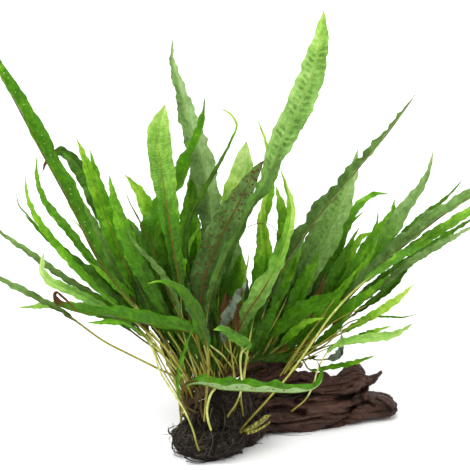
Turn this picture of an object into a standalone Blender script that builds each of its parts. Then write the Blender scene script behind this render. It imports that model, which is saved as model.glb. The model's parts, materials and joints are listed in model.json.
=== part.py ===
"""Java fern growing on a piece of driftwood: a fan of narrow lance-shaped fronds that
rise from one creeping rhizome, a mat of dark roots, and the forked wood they hold on to.

X runs along the front of the plant to the right, Y away from the viewer, Z up. The wood
stands on Z = 0. Positions are read off a front picture of 470 x 470 pixels and placed at
real size by seen_at(); all other sizes are millimetres.
"""

import math

import bmesh
import bpy
from mathutils import Vector, noise
from mathutils.bvhtree import BVHTree

# ---- Driving dimensions, in millimetres and degrees ----
MM = 0.001
MM_PER_PIXEL = 0.5556  # 450 pixels, from the lowest wood to the highest tip, are 250 mm
PICTURE_MIDDLE = 235.0  # pixel column and row that the line of sight goes through
TARGET_HEIGHT = 122.8  # height of the point looked at, above the floor
SIGHT_DISTANCE = 1200.0  # from the eye to that point
SIGHT_PITCH = math.radians(18.0)  # how far the line of sight looks down

GAP = 0.3  # left between neighbouring pieces
STALK_HALF = 0.95  # half thickness of a frond's stalk
BLADE_UPPER = 0.3  # midrib above the middle surface of a blade
BLADE_KEEL = 0.65  # midrib below it
RHIZOME_RADIUS = 3.2
YOUNG_TIP_RADIUS = 1.7
MAT_SEAM = 19.3  # height at which the root mat lies on the left end of the log
SHARP_ANGLE = math.radians(50)  # edges that turn more than this stay sharp
LEAN_POWER = 1.3  # a frond leans out more and more towards its tip

SIN, COS = math.sin(SIGHT_PITCH), math.cos(SIGHT_PITCH)
TAN = SIN / COS
EYE = Vector((0, -SIGHT_DISTANCE * COS, TARGET_HEIGHT + SIGHT_DISTANCE * SIN))
UP = Vector((0, 0, 1))

COLOURS = {
    "driftwood": (0.045, 0.021, 0.017),
    "roots": (0.014, 0.010, 0.008),
    "rhizome": (0.10, 0.065, 0.02),
    "lime": (0.33, 0.50, 0.05),
    "green": (0.09, 0.27, 0.02),
    "dark": (0.035, 0.11, 0.015),
    "grey": (0.16, 0.27, 0.11),
    "spore": (0.07, 0.14, 0.045),
    "withered": (0.10, 0.05, 0.02),
}


def seen_at(px, py, depth):
    """The point in millimetres that is seen at a pixel, at a given depth along Y."""
    across = (px - PICTURE_MIDDLE) * MM_PER_PIXEL
    up = (PICTURE_MIDDLE - py) * MM_PER_PIXEL
    grow = (1 + depth / (SIGHT_DISTANCE * COS)) / (1 + up * TAN / SIGHT_DISTANCE)
    return Vector((across * grow, depth, TARGET_HEIGHT + (up * grow - depth * SIN) / COS))


def picture_of(point):
    """The pixel at which a point is seen."""
    high = point.z - TARGET_HEIGHT
    shrink = 1 + (point.y * COS - high * SIN) / SIGHT_DISTANCE
    right = point.x / shrink / MM_PER_PIXEL
    up = (point.y * SIN + high * COS) / shrink / MM_PER_PIXEL
    return Vector((PICTURE_MIDDLE + right, PICTURE_MIDDLE - up))


def blend(keys, x):
    """Straight-line values at x from rows of (x, value...) in rising order."""
    if x <= keys[0][0]:
        return keys[0][1:]
    for low, high in zip(keys, keys[1:]):
        if x <= high[0]:
            share = (x - low[0]) / (high[0] - low[0])
            return [a + (b - a) * share for a, b in zip(low[1:], high[1:])]
    return keys[-1][1:]


class Curve:
    """A smooth curve through points, read at a share of its length."""

    def __init__(self, points, fine=12):
        gaps = [max((b - a).length, 1e-6) for a, b in zip(points, points[1:])]
        steps = [(b - a) / g for a, b, g in zip(points, points[1:], gaps)]
        slopes = [steps[0]]
        for before, after, near, far in zip(steps, steps[1:], gaps, gaps[1:]):
            slopes.append((before * far + after * near) / (near + far))
        slopes.append(steps[-1])
        self.line = [points[0].copy()]
        for i, gap in enumerate(gaps):
            for j in range(1, fine + 1):
                t = j / fine
                self.line.append(
                    points[i] * (2 * t**3 - 3 * t**2 + 1)
                    + slopes[i] * (gap * (t**3 - 2 * t**2 + t))
                    + points[i + 1] * (3 * t**2 - 2 * t**3)
                    + slopes[i + 1] * (gap * (t**3 - t**2))
                )
        self.run = [0.0]
        for a, b in zip(self.line, self.line[1:]):
            self.run.append(self.run[-1] + (b - a).length)

    def at(self, share):
        along = share * self.run[-1]
        last = len(self.run) - 1
        i = next((i for i in range(1, last) if along <= self.run[i]), last)
        part = (along - self.run[i - 1]) / max(self.run[i] - self.run[i - 1], 1e-9)
        return self.line[i - 1].lerp(self.line[i], part)

    def along(self, share):
        """The direction of the curve at a share of its length."""
        low, high = max(share - 0.01, 0), min(share + 0.01, 1)
        return (self.at(high) - self.at(low)).normalized()


# ---- Solids extruded from ring to ring ----
def extruded(rings, foot, tip):
    """A closed tube: the first ring extruded to each of the others, its ends drawn to points."""
    solid = bmesh.new()
    cap = solid.faces.new([solid.verts.new(spot) for spot in rings[0]])
    first = cap
    for ring in rings[1:]:
        before = list(cap.verts)
        made = bmesh.ops.extrude_face_region(solid, geom=[cap])["geom"]
        if cap is not first:
            bmesh.ops.delete(solid, geom=[cap], context="FACES_ONLY")
        cap = next(item for item in made if isinstance(item, bmesh.types.BMFace))
        for vert, spot in zip(cap.verts, ring):
            vert.co = spot
        split_sides(solid, before, list(cap.verts))
    for end, spot in ((first, foot), (cap, tip)):
        bmesh.ops.poke(solid, faces=[end])["verts"][0].co = spot
    bmesh.ops.recalc_face_normals(solid, faces=solid.faces)
    return solid


def split_sides(solid, before, after):
    """Cuts each side into two triangles, the upper and lower side of a blade alike."""
    count = len(before)
    for k in range(count):
        n = (k + 1) % count
        corners = {before[k], before[n], after[k], after[n]}
        side = next(f for f in before[k].link_faces if set(f.verts) == corners)
        start, end = (before[n], after[k]) if count == 4 and k in (1, 3) else (before[k], after[n])
        bmesh.utils.face_split(side, start, end)


def rounded_ring(x, mid, half, low, high, floor, roof, count, rough):
    """A rounded boxy ring across the X axis, with the grain of wood running along it."""
    ring = []
    for k in range(count):
        turn = 2 * math.pi * k / count
        y = math.copysign(abs(math.cos(turn)) ** 0.77, math.cos(turn))
        z = math.copysign(abs(math.sin(turn)) ** 0.77, math.sin(turn))
        grain = noise.noise(Vector((x * 0.03, y * 2.3, z * 2.3 + 7)))
        grain += 0.6 * noise.noise(Vector((x * 0.10 + 3, y * 4.1, z * 4.1)))
        swell = 1 + rough * grain
        height = (low + high) / 2 + (high - low) / 2 * z * swell
        ring.append(Vector((x, mid + half * y * swell, min(max(height, floor), roof))))
    return ring


def log_piece(outline, columns, count, rough, floor=0.0):
    """Wood or roots from rows of pixel column, top row, front depth, half depth, low, roof."""
    rings = []
    for px in columns:
        top, front, half, low, roof = blend(outline, px)
        mid = front + half
        high = seen_at(px, top, mid + 0.35 * half).z
        rings.append(rounded_ring(
            seen_at(px, top, mid).x, mid, half, low, high, floor, roof, count, rough
        ))
    ends = [sum(ring, Vector()) / len(ring) for ring in (rings[0], rings[-1])]
    return extruded(rings, *ends)


def evenly(first, last, count):
    return [first + (last - first) * i / (count - 1) for i in range(count)]


OPEN = 1000.0  # a roof that cuts nothing off
UNDER_MAT = MAT_SEAM - GAP
MAT_END = 252.0  # pixel column where the root mat ends against the rising wood
# Rows: pixel column, row of the top edge, front depth, half depth, lowest height, roof
LOG = (
    (168.5, 436, -29, 6, 5, OPEN),
    (170, 430, -31, 10, 3, OPEN),
    (175, 426, -34.5, 14, -1, OPEN),
    (184, 421, -37.5, 17, -3, UNDER_MAT),
    (196, 415, -40, 18.5, -3, UNDER_MAT),
    (222, 408, -39, 21, -3, UNDER_MAT),
    (238, 404, -31, 22.5, -3, UNDER_MAT),
    (246, 402, -19, 20, -3, UNDER_MAT),
    (MAT_END + 0.6, 400, -9, 16.5, -3, UNDER_MAT),
    (MAT_END + 1.2, 370, -6.5, 14.3, -3, OPEN),
    (262, 366, -2, 15.8, -3, OPEN),
    (270, 363, 0.5, 16, -3, OPEN),
    (279, 364, 2, 16.2, -3, OPEN),
    (288, 367.5, 2.5, 16.2, -3, OPEN),
    (300, 370, 4.5, 16.2, -3, OPEN),
    (312, 371, 6, 16.2, -3, OPEN),
    (324, 373, 7.5, 15.7, -3, OPEN),
    (334, 374, 9.5, 15, -2.5, OPEN),
    (345, 368, 12.5, 14.2, -1, OPEN),
    (355, 365, 15.5, 13.2, 1, OPEN),
    (361, 367, 18, 12.2, 2, OPEN),
    (365.5, 371, 20, 11.3, 2.5, OPEN),
)
WOOD_ORIGIN = (270, 420, 10)  # pixel column and row, depth
LOG_COLUMNS = (
    [168.5, 170, 173] + evenly(178, 248, 11) + [MAT_END + 0.6, MAT_END + 1.2]
    + evenly(257, 365.5, 20)
)
LOWER_LOBE = (
    (366.1, 393, 20.5, 11, 2.5, OPEN),
    (374, 393, 21.5, 11.5, 2.5, OPEN),
    (384, 394, 23, 11.5, 1.5, OPEN),
    (391, 397, 24, 10.5, 2, OPEN),
    (395, 401, 26, 8.5, 3.5, OPEN),
    (397.5, 407, 29, 5.5, 6, OPEN),
)
UPPER_SPUR = (
    (366.1, 376, 23.5, 7.0, 21.5, OPEN),
    (370, 377.5, 25, 5.0, 22.3, OPEN),
    (374, 375, 26.5, 3.4, 23.2, OPEN),
    (378, 371.5, 28, 2.5, 25.3, OPEN),
    (381, 370, 29, 1.9, 26.8, OPEN),
    (382.5, 371, 29.3, 1.2, 27.5, OPEN),
)
LOBE_COLUMNS = evenly(LOWER_LOBE[0][0], LOWER_LOBE[-1][0], 9)
SPUR_COLUMNS = [row[0] for row in UPPER_SPUR]
ROOT_MAT = (
    (187, 413, -22, 4, MAT_SEAM, OPEN),
    (190, 408, -27, 9, 15, OPEN),
    (199, 401, -34, 16, 12, OPEN),
    (210, 396, -37, 20, 12, OPEN),
    (222, 391, -36, 22, 12, OPEN),
    (234, 388, -30, 22.5, 12, OPEN),
    (244, 378, -20, 20.5, 12, OPEN),
    (MAT_END, 372, -13, 18, 12, OPEN),
)
MAT_COLUMNS = [187, 188.5] + evenly(191, MAT_END, 10)
# Pixel column, pixel row, depth
RHIZOME_PATH = (
    (184, 407, -22), (192, 400, -18), (202, 393.5, -13), (215, 385, -5), (230, 376.5, 4.5),
    (247, 367, 18), (262, 362.5, 29), (282, 362.5, 37), (301, 365, 41),
)
YOUNG_TIP_PATH = ((246, 430, -21), (253, 427, -19), (260, 422, -15.5), (268, 416, -12.5))


def knobbly_tube(path, radius, stations, count, taper):
    """A lumpy round stem along a path, thinner at both ends, and the curve it follows."""
    curve = Curve([seen_at(*spot) for spot in path])
    rings = []
    for share in evenly(0, 1, stations):
        side = curve.along(share).cross(UP).normalized()
        over = side.cross(curve.along(share))
        swell = radius * (1 - taper * abs(2 * share - 1) ** 6)
        swell *= 0.93 + 0.07 * math.sin(share * curve.run[-1] * 0.9)
        turns = evenly(0, 2 * math.pi, count + 1)[:-1]
        rings.append([
            curve.at(share) + (side * math.cos(t) + over * math.sin(t)) * swell for t in turns
        ])
    bulge = radius * 0.3
    foot = curve.at(0) - curve.along(0) * bulge
    tip = curve.at(1) + curve.along(1) * bulge
    return extruded(rings, foot, tip), curve


# ---- Fronds ----
LANCE = (0.55, 0.6, 1.8)  # widest at this share of the blade, powers towards stalk and tip
SLENDER = (0.5, 0.65, 1.35)
PADDLE = (0.72, 0.6, 2.0)
HOOK = (0.5, 0.7, 2.2)


class Frond:
    """One frond: a stalk and a keeled blade that follow a route read off the picture."""

    def __init__(self, name, kind, route, wide, lean, roll=(0, 0), seat=None, base=None,
                 fold=12, collar=0.3, shape=LANCE, stations=13, bow=0, stalk=STALK_HALF):
        self.name, self.kind, self.wide = name, kind, wide
        self.route = [Vector(spot) for spot in route]  # pixels, from the stalk to the tip
        self.lean, self.bow = lean, bow  # depth of the tip, and how far the middle bows back
        self.roll = list(enumerate(roll))  # turn of the blade's face from the viewer
        self.seat = seat  # share along the rhizome, and degrees from upright
        self.base = base  # or the pixel and depth of a foot on the front of the roots
        self.fold = math.radians(fold)  # how far each half of the blade is raised
        self.collar = collar  # share of the length at which the blade begins
        self.shape, self.stations, self.stalk = shape, stations, stalk
        self.seed = sum(ord(letter) for letter in name) % 97

    def start(self, rhizome, forward):
        """The first points of the stalk, on the rhizome or on the front of the roots."""
        if self.base:
            px, py, depth = self.base
            return [seen_at(px, py, depth - forward)]
        share, turn = self.seat[0], math.radians(self.seat[1])
        along = rhizome.along(share)
        away = UP.cross(along).normalized()
        out = along.cross(away) * math.cos(turn) + away * math.sin(turn)
        foot = rhizome.at(share) + out * (RHIZOME_RADIUS + GAP + 0.5)
        return [foot, foot + out * 3.5]

    def spine(self, rhizome, lean, bow, forward):
        points = self.start(rhizome, forward)
        spots = [picture_of(point) for point in points] + self.route
        run = [0.0]
        for a, b in zip(spots, spots[1:]):
            run.append(run[-1] + (b - a).length)
        root = points[-1].y
        for spot, along in zip(self.route, run[len(points):]):
            t = along / run[-1]
            depth = root + (self.lean + lean - root) * t**LEAN_POWER
            depth += (self.bow + bow) * math.sin(math.pi * t)
            points.append(seen_at(*spot, depth))
        return Curve(points)

    def width_share(self, s):
        """Half width at a share of the blade, as a share of the widest."""
        peak, low, high = self.shape
        if s < peak:
            return math.sin(math.pi / 2 * s / peak) ** low
        return 1 - ((s - peak) / (1 - peak)) ** high

    def shares(self):
        """Where the rings stand along the frond."""
        on_stalk = max(2, round(self.stations * self.collar * 0.55))
        on_blade = self.stations - on_stalk
        blade = 1 - self.collar
        return [self.collar * i / on_stalk for i in range(on_stalk)] + [
            self.collar + blade * 0.975 * (i + 0.3) / (on_blade - 0.7) for i in range(on_blade)
        ]

    def solid(self, curve, swollen=0.0):
        rings = []
        for i, share in enumerate(self.shares()):
            s = max((share - self.collar) / (1 - self.collar), 0)
            leaf = min(s / 0.10, 1)  # 0 on the stalk, 1 on the blade
            spot, along = curve.at(share), curve.along(share)
            to_eye = EYE - spot
            facing = (to_eye - along * to_eye.dot(along)).normalized()
            level = along.cross(facing)
            roll = math.radians(blend(self.roll, s * self.roll[-1][0])[0])
            side = level * math.cos(roll) + facing * math.sin(roll)
            normal = facing * math.cos(roll) - level * math.sin(roll)
            half = max(self.wide / 2 * self.width_share(s) * leaf, self.stalk * (1 - leaf), 0.25)
            thin = min(1, 0.3 + half / 1.5)
            upper = (self.stalk * 0.85 * (1 - leaf) + BLADE_UPPER * leaf) * thin + swollen
            keel = (self.stalk * (1 - leaf) + BLADE_KEEL * leaf) * thin + swollen
            edges = []
            for hand in (-1, 1):
                wave = math.sin(2.3 * i + self.seed + hand) * leaf
                reach = half * (1 + 0.06 * wave) + swollen
                lift = self.fold * leaf + 0.10 * wave
                out = side * (hand * math.cos(lift)) + normal * math.sin(lift)
                edges.append(spot + out * reach)
            rings.append([edges[0], spot + normal * upper, edges[1], spot - normal * keel])
        return extruded(rings, curve.at(0) - curve.along(0) * 0.4, curve.at(1))


FRONDS = (
    # -- the tall ones of the middle
    Frond("tall_right_frond", "green", wide=14.8, lean=-16, bow=-20, fold=8,
          roll=(0, 5, 25, 60, 58, 34, 8, 4, 4), seat=(0.40, -34), collar=0.13, stations=19,
          shape=(0.74, 0.8, 2.6),
          route=((206, 345), (207, 318), (212, 292), (222, 264), (237, 236), (251, 208),
                 (263, 188), (283, 140), (306.5, 90), (318.5, 50), (324, 10))),
    Frond("spore_frond", "spore", wide=17.8, lean=-18, roll=(180, 180), fold=10,
          seat=(0.33, -28), collar=0.14, stations=16, shape=(0.56, 0.7, 1.7),
          route=((206, 352), (200, 305), (207, 270), (220, 238), (238, 204), (250, 181),
                 (259, 166), (267, 159))),
    Frond("broad_lime_frond", "lime", wide=15, lean=-22, roll=(-48, -30, -14), fold=16,
          seat=(0.25, 0), collar=0.25, shape=(0.8, 0.7, 2.2), stations=15,
          route=((186, 335), (179, 285), (171.5, 240), (166, 202), (160.5, 165), (157.5, 134),
                 (165, 104))),
    Frond("tall_centre_frond", "grey", wide=14.5, lean=24, roll=(165, 172), fold=8,
          seat=(0.43, 22), collar=0.24, stations=16, shape=(0.52, 0.6, 1.2),
          route=((217, 340), (213, 285), (212, 240), (209, 202), (203.5, 168), (191.5, 128),
                 (179, 85), (172, 58), (172.5, 38))),
    Frond("diagonal_dark_frond", "dark", wide=17, lean=8, roll=(40, 50), fold=34,
          seat=(0.28, 20), collar=0.2, stations=15, shape=(0.5, 0.65, 1.5),
          route=((186, 330), (159, 280), (154, 248), (160, 220), (172, 197), (185, 172),
                 (197, 142), (204, 118), (205, 95))),
    Frond("centre_lime_frond", "lime", wide=15.5, lean=0, roll=(10, 10), fold=10,
          seat=(0.46, -8), collar=0.3, shape=PADDLE,
          route=((221, 335), (220, 280), (229, 225), (241, 180), (246.5, 141))),
    Frond("thin_hook_frond", "green", wide=4.6, lean=-20, roll=(35, 35), fold=10,
          seat=(0.36, 8), collar=0.15, stations=18, shape=HOOK,
          route=((209, 345), (196, 298), (186, 250), (189, 221), (200, 197), (213, 175),
                 (225, 153), (233, 136), (236.5, 122), (230.5, 113.5), (221, 109))),
    Frond("big_diagonal_frond", "dark", wide=13.5, lean=-14, roll=(40, 52, 52), fold=34,
          seat=(0.60, -14), collar=0.14, stations=16, shape=(0.42, 0.6, 1.2),
          route=((257, 338), (267, 303), (281, 272), (302.5, 238), (328, 206), (355.5, 171),
                 (385, 136), (415, 95))),
    Frond("broad_back_frond", "grey", wide=22, lean=36, roll=(150, 150), fold=10,
          seat=(0.68, 14), collar=0.18, shape=(0.5, 0.5, 1.4),
          route=((274, 335), (292, 300), (309, 266), (326, 236), (340, 205), (352, 176),
                 (358, 149))),
    Frond("right_blade_frond", "green", wide=12, lean=52, roll=(35, 20), fold=14,
          seat=(0.80, 12), collar=0.24, shape=(0.5, 0.65, 1.15),
          route=((300, 335), (343, 295), (368, 262), (387, 236), (402.5, 213), (418.5, 190),
                 (430, 168), (433.5, 149))),
    Frond("long_right_frond", "grey", wide=13.5, lean=-6, roll=(45, 54, 50), fold=34,
          seat=(0.84, -22), collar=0.25, stations=15,
          route=((296, 352), (330, 318), (362, 284), (388, 259), (412, 239), (440, 217),
                 (470, 197), (508, 175))),
    Frond("far_left_frond", "dark", wide=15.5, lean=-30, roll=(-45, -54, -54), fold=34,
          seat=(0.05, 4), collar=0.18, stations=16, shape=(0.62, 1.4, 2.6),
          route=((176, 355), (139, 312), (102, 266), (71.5, 206), (41, 150.5), (11, 93.5), (-19, 39))),
    Frond("lime_left_frond", "lime", wide=11, lean=-2, roll=(-20, -20), fold=14,
          seat=(0.14, 0), collar=0.25,
          route=((172, 345), (138, 292), (119, 250), (104, 212), (93, 182), (84, 158),
                 (76, 137))),
    Frond("left_mid_frond", "green", wide=11, lean=18, roll=(-25, -25), fold=14,
          seat=(0.17, 18), collar=0.25,
          route=((178, 345), (150, 302), (131, 266), (115, 232), (102.5, 200), (94.5, 172),
                 (90, 149))),
    Frond("left_slim_frond", "green", wide=10, lean=-24, roll=(20, 20), fold=12,
          seat=(0.20, -12), collar=0.26,
          route=((178, 335), (150, 285), (132, 250), (121, 220), (114, 197), (109, 174))),
    Frond("arched_lime_frond", "lime", wide=12, lean=14, roll=(-10, 10), fold=16,
          seat=(0.22, 14), collar=0.28,
          route=((186, 335), (173, 282), (163, 246), (154, 222), (144.5, 202), (135.5, 186),
                 (124, 174))),
    Frond("left_under_frond", "grey", wide=10, lean=34, roll=(160, 160), fold=8,
          seat=(0.10, 26), collar=0.24,
          route=((168, 345), (135, 298), (109, 257), (90, 224), (74, 195), (58, 165))),
    Frond("curled_left_frond", "dark", wide=10, lean=46, roll=(-20, 10), fold=10,
          seat=(0.12, 44), collar=0.22, stations=18, shape=(0.62, 0.6, 1.5),
          route=((168, 335), (136, 282), (112, 232), (95, 197), (81.5, 172), (71, 158),
                 (59, 151), (48, 159), (42, 173))),
    # -- the fan low on the left
    Frond("front_left_frond", "green", wide=16, lean=-48, roll=(-52, -55, -40), fold=34,
          seat=(0.30, -50), collar=0.18, stations=20, shape=(0.38, 0.6, 1.0),
          route=((211, 358), (203, 338), (178, 330), (150, 325), (124, 319), (100, 315),
                 (78, 312), (60, 305), (52, 297), (57, 291), (66, 299), (78, 312))),
    Frond("bent_front_frond", "green", wide=9, lean=-44, roll=(25, 25), fold=12,
          base=(205, 421, -26), collar=0.4, stations=17, shape=(0.45, 0.6, 1.0),
          route=((206, 396), (209, 360), (205, 335), (197, 315), (188, 297), (180, 287),
                 (170, 283), (159, 281), (147, 284))),
    Frond("drooping_front_frond", "green", wide=6.5, lean=-46, roll=(20, 20), fold=12,
          base=(228, 416, -26), collar=0.6, stations=19,
          route=((236, 404), (242, 386), (240.5, 366), (242, 352), (248.5, 345), (243, 341),
                 (232, 334.5), (222, 328.5), (213, 330))),
    Frond("front_curl_frond", "green", wide=17, lean=-46, roll=(60, 75, 75, 40), fold=36,
          base=(195, 418, -26), collar=0.2, stations=20, shape=(0.4, 0.5, 1.5), bow=-6,
          route=((186, 408), (182, 396), (187, 386), (200, 384), (220, 389), (245, 391),
                 (275, 392), (300, 392), (315, 388), (322, 380), (322, 370), (317, 361))),
    Frond("low_left_blade", "green", wide=3.6, lean=-24, roll=(0, 0), fold=12,
          base=(181, 423, -24), collar=0.42, shape=PADDLE,
          route=((179, 402), (173, 377), (160, 350), (135, 322), (100, 307), (65, 305),
                 (40, 306), (17, 308))),
    Frond("long_stalked_left_frond", "grey", wide=4.8, lean=-44, roll=(170, 170), fold=12,
          seat=(0.02, -34), collar=0.55, stations=15,
          route=((176, 377), (155, 367), (125, 352), (98, 337.5), (76, 321), (58, 308.5),
                 (45, 301.5), (22, 289.5), (0, 278.5), (-20, 266))),
    Frond("grey_left_frond", "grey", wide=5.2, lean=-34, roll=(165, 165), fold=12,
          seat=(0.03, -10), collar=0.35, stations=15,
          route=((170, 362), (132, 325), (105, 301), (83, 288), (62, 276), (41, 260.5),
                 (20, 246), (0, 231.5), (-15, 219))),
    Frond("lime_low_left_frond", "lime", wide=5.4, lean=-36, roll=(0, 0), fold=12,
          seat=(0.06, -40), collar=0.36, stations=15, shape=PADDLE,
          route=((178, 372), (150, 342), (115, 315), (88, 299), (65, 288), (49, 280),
                 (42, 270), (44, 252))),
    Frond("dark_left_frond", "dark", wide=10.5, lean=10, roll=(-30, -30), fold=14,
          seat=(0.06, 30), collar=0.26, shape=(0.35, 0.6, 1.15), stations=15,
          route=((168, 340), (133, 308), (107, 289), (85, 270.5), (61, 250), (39.5, 230.5),
                 (22, 212))),
    Frond("slim_lime_left_frond", "lime", wide=4.6, lean=-10, roll=(0, 0), fold=12,
          seat=(0.08, -18), collar=0.35, stations=15,
          route=((162, 345), (125, 312), (98, 289), (72, 263), (51, 238), (35.5, 216),
                 (27, 195), (25.5, 172))),
    Frond("wavy_left_frond", "green", wide=5.4, lean=40, roll=(-20, -20), fold=12,
          seat=(0.09, 60), collar=0.33, stations=15,
          route=((165, 342), (130, 303), (100, 270), (80, 246), (63, 224), (47, 205),
                 (37, 179), (37, 153))),
    Frond("short_low_left_frond", "green", wide=4, lean=-44, roll=(20, 20), fold=10,
          base=(199, 450, -30), collar=0.6, stations=15,
          route=((190, 422), (178, 399), (162, 376), (154, 352), (140, 332), (122, 323),
                 (105, 322), (86, 323))),
    # -- the middle, right of the tall ones
    Frond("slim_centre_frond", "lime", wide=5, lean=30, roll=(0, 0), fold=10,
          seat=(0.52, 30), collar=0.3, stalk=0.8, shape=SLENDER,
          route=((248, 320), (258, 264), (262, 225), (271, 188), (270, 157), (264, 136),
                 (257, 118))),
    Frond("centre_right_frond", "lime", wide=11, lean=-8, roll=(170, 150, 165), fold=12,
          seat=(0.49, -50), collar=0.14, stations=15, shape=(0.42, 0.5, 1.05), bow=-20,
          route=((237, 338), (248, 312), (263, 290), (276.5, 264), (286, 237), (291, 213),
                 (287, 190), (279.5, 166))),
    Frond("centre_mid_frond", "green", wide=11, lean=22, roll=(20, 20), fold=12,
          seat=(0.58, 24), collar=0.24,
          route=((258, 325), (273, 290), (283, 256), (286, 232), (282.5, 209), (276, 186))),
    Frond("centre_inner_frond", "green", wide=13, lean=18, roll=(15, 15), fold=14, bow=10,
          base=(234, 411, -22), collar=0.32, stations=15, shape=(0.45, 0.5, 0.95),
          route=((243, 386), (247, 355), (254, 318), (262, 282), (265, 252), (262, 222),
                 (264, 203), (270, 186))),
    Frond("decayed_frond", "withered", wide=6.5, lean=-34, roll=(20, 20), fold=18,
          seat=(0.43, -46), collar=0.3,
          route=((226, 350), (224, 331), (230, 311), (239, 295), (247, 281))),
    Frond("inner_left_frond", "green", wide=13, lean=20, roll=(-20, -20), fold=12,
          seat=(0.34, 34), collar=0.24,
          route=((205, 335), (193, 290), (188, 250), (190, 212), (192, 188), (194, 161))),
    Frond("dark_centre_frond", "dark", wide=13, lean=34, roll=(10, 10), fold=12,
          seat=(0.49, 36), collar=0.22,
          route=((229, 335), (230, 308), (235, 286), (240, 268), (242, 252))),
    # -- the fan low on the right
    Frond("arching_right_frond", "green", wide=7.5, lean=56, roll=(15, 15), fold=12,
          seat=(0.72, 34), collar=0.26, stations=15,
          route=((290, 320), (320, 276), (338, 241), (349, 218), (361, 203), (375, 194),
                 (390, 194))),
    Frond("hooked_right_frond", "green", wide=8, lean=72, roll=(-20, 20), fold=12,
          seat=(0.76, 46), collar=0.3, stations=15, shape=(0.65, 0.6, 1.9),
          route=((298, 330), (330, 294), (354, 265), (371, 243), (384, 226), (393, 211.5),
                 (394.5, 198))),
    Frond("slim_far_right_frond", "dark", wide=4.8, lean=34, roll=(0, 0), fold=12,
          seat=(0.88, 20), collar=0.3, stations=15, shape=SLENDER,
          route=((308, 335), (342, 298), (376, 264), (402, 236), (425, 214), (447, 197),
                 (464, 178))),
    Frond("bright_right_frond", "lime", wide=6.2, lean=40, roll=(10, 10), fold=12,
          base=(240, 431, -22), collar=0.5, stations=17,
          route=((262, 406), (285, 380), (310, 346), (338, 307), (364, 282), (395, 259.5),
                 (420, 243), (446, 226), (470, 211), (502, 191))),
    Frond("dark_right_frond", "green", wide=3.8, lean=22, roll=(-10, -10), fold=12,
          seat=(0.90, -6), collar=0.3, stations=15,
          route=((310, 340), (345, 306), (380, 278), (410, 258), (437, 241), (463, 224.5),
                 (488, 210))),
    Frond("pale_right_frond", "grey", wide=4.4, lean=-14, roll=(175, 175), fold=12,
          seat=(0.93, -32), collar=0.38, stations=15,
          route=((312, 346), (350, 313), (385, 283), (414, 260), (440, 244.5), (464, 231),
                 (480, 221))),
    Frond("small_dark_right_frond", "dark", wide=5.2, lean=12, roll=(0, 0), fold=12,
          seat=(0.95, 14), collar=0.36, shape=(0.78, 1.0, 2.0),
          route=((312, 348), (345, 321), (368, 304), (386, 291), (398, 277), (406, 265), (410, 257))),
    Frond("low_lime_right_frond", "lime", wide=5, lean=-22, roll=(10, 10), fold=12,
          seat=(0.88, -46), collar=0.36,
          route=((300, 352), (325, 342), (352, 327), (380, 311), (399, 298), (415, 283))),
    Frond("low_right_frond", "lime", wide=5.4, lean=-34, roll=(10, 10), fold=12,
          base=(292, 411, 4), collar=0.42, stations=17,
          route=((306, 399), (314, 383), (320, 364), (333, 347), (352, 340), (372, 338),
                 (395, 334), (414, 323))),
    Frond("lowest_right_frond", "green", wide=3.2, lean=-6, roll=(0, 0), fold=10,
          seat=(0.97, -48), collar=0.14, stalk=0.8,
          route=((308, 368.5), (330, 367), (354, 362.5), (375, 355.5))),
    Frond("withered_right_frond", "withered", wide=5.4, lean=18, roll=(30, 30), fold=16,
          seat=(0.99, 44), collar=0.4, stations=15, shape=(0.4, 0.6, 0.9),
          route=((316, 360), (328, 359), (338, 356), (342, 346), (341, 330))),
    Frond("low_bright_frond", "green", wide=10.5, lean=-10, roll=(20, 20), fold=14,
          seat=(0.64, -34), collar=0.2,
          route=((264, 352), (272, 338), (284, 324), (300, 312), (319, 303), (342, 291))),
    Frond("low_mid_frond", "green", wide=10.5, lean=14, roll=(20, 20), fold=14,
          seat=(0.76, -28), collar=0.2,
          route=((283, 354), (293, 342), (308, 328), (326, 315), (346, 299))),
    Frond("inner_right_frond", "dark", wide=14, lean=66, roll=(10, 10), fold=12,
          seat=(0.735, 18), collar=0.22,
          route=((290, 335), (302, 308), (318, 280), (333, 254), (345, 232))),
    # -- the far side
    Frond("back_left_frond", "green", wide=15, lean=78, roll=(170, 170), fold=12,
          seat=(0.31, 50), collar=0.25,
          route=((202, 340), (180, 300), (155, 262), (138, 236), (128, 218))),
    Frond("back_centre_frond", "dark", wide=15, lean=88, roll=(175, 175), fold=10,
          seat=(0.55, 52), collar=0.22,
          route=((248, 328), (238, 286), (229, 250), (224, 222), (222, 200))),
    Frond("back_right_frond", "green", wide=17, lean=100, roll=(185, 185), fold=10,
          seat=(0.82, 50), collar=0.22,
          route=((298, 322), (310, 290), (322, 262), (330, 240), (335, 222))),
)


# ---- Building ----
LEANS = range(-36, 37, 3)  # how far a tip may be moved from where it was planned
BOWS = range(-14, 15, 2)
FORWARDS = [0.5 * step for step in range(30)]  # steps towards the viewer


def foot_forward(frond, rhizome, crowd):
    """How far a foot on the front of the roots comes forward to stand clear of them."""
    if frond.base:
        for forward in FORWARDS:
            foot = frond.spine(rhizome, 0, 0, forward).at(0)
            _, _, _, distance = crowd.find_nearest(foot)
            inside = crowd.ray_cast(foot, Vector((0, -1, 0)))[0] is not None
            if not inside and distance > frond.stalk + GAP:
                return forward
    return 0


def grown(frond, rhizome, crowd):
    """The frond, with its lean and bow changed as little as keeps it off its neighbours."""
    forward = foot_forward(frond, rhizome, crowd)
    changes = [(abs(lean) / 3 + abs(bow) / 2, lean, bow) for lean in LEANS for bow in BOWS]
    best = None
    for _, lean, bow in sorted(changes):
        curve = frond.spine(rhizome, lean, bow, forward)
        swollen = frond.solid(curve, GAP)
        hits = len(crowd.overlap(BVHTree.FromBMesh(swollen)))
        swollen.free()
        if best is None or hits < best[0]:
            best = (hits, curve)
        if not hits:
            break
    return frond.solid(best[1]), best[1].at(0)


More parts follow.
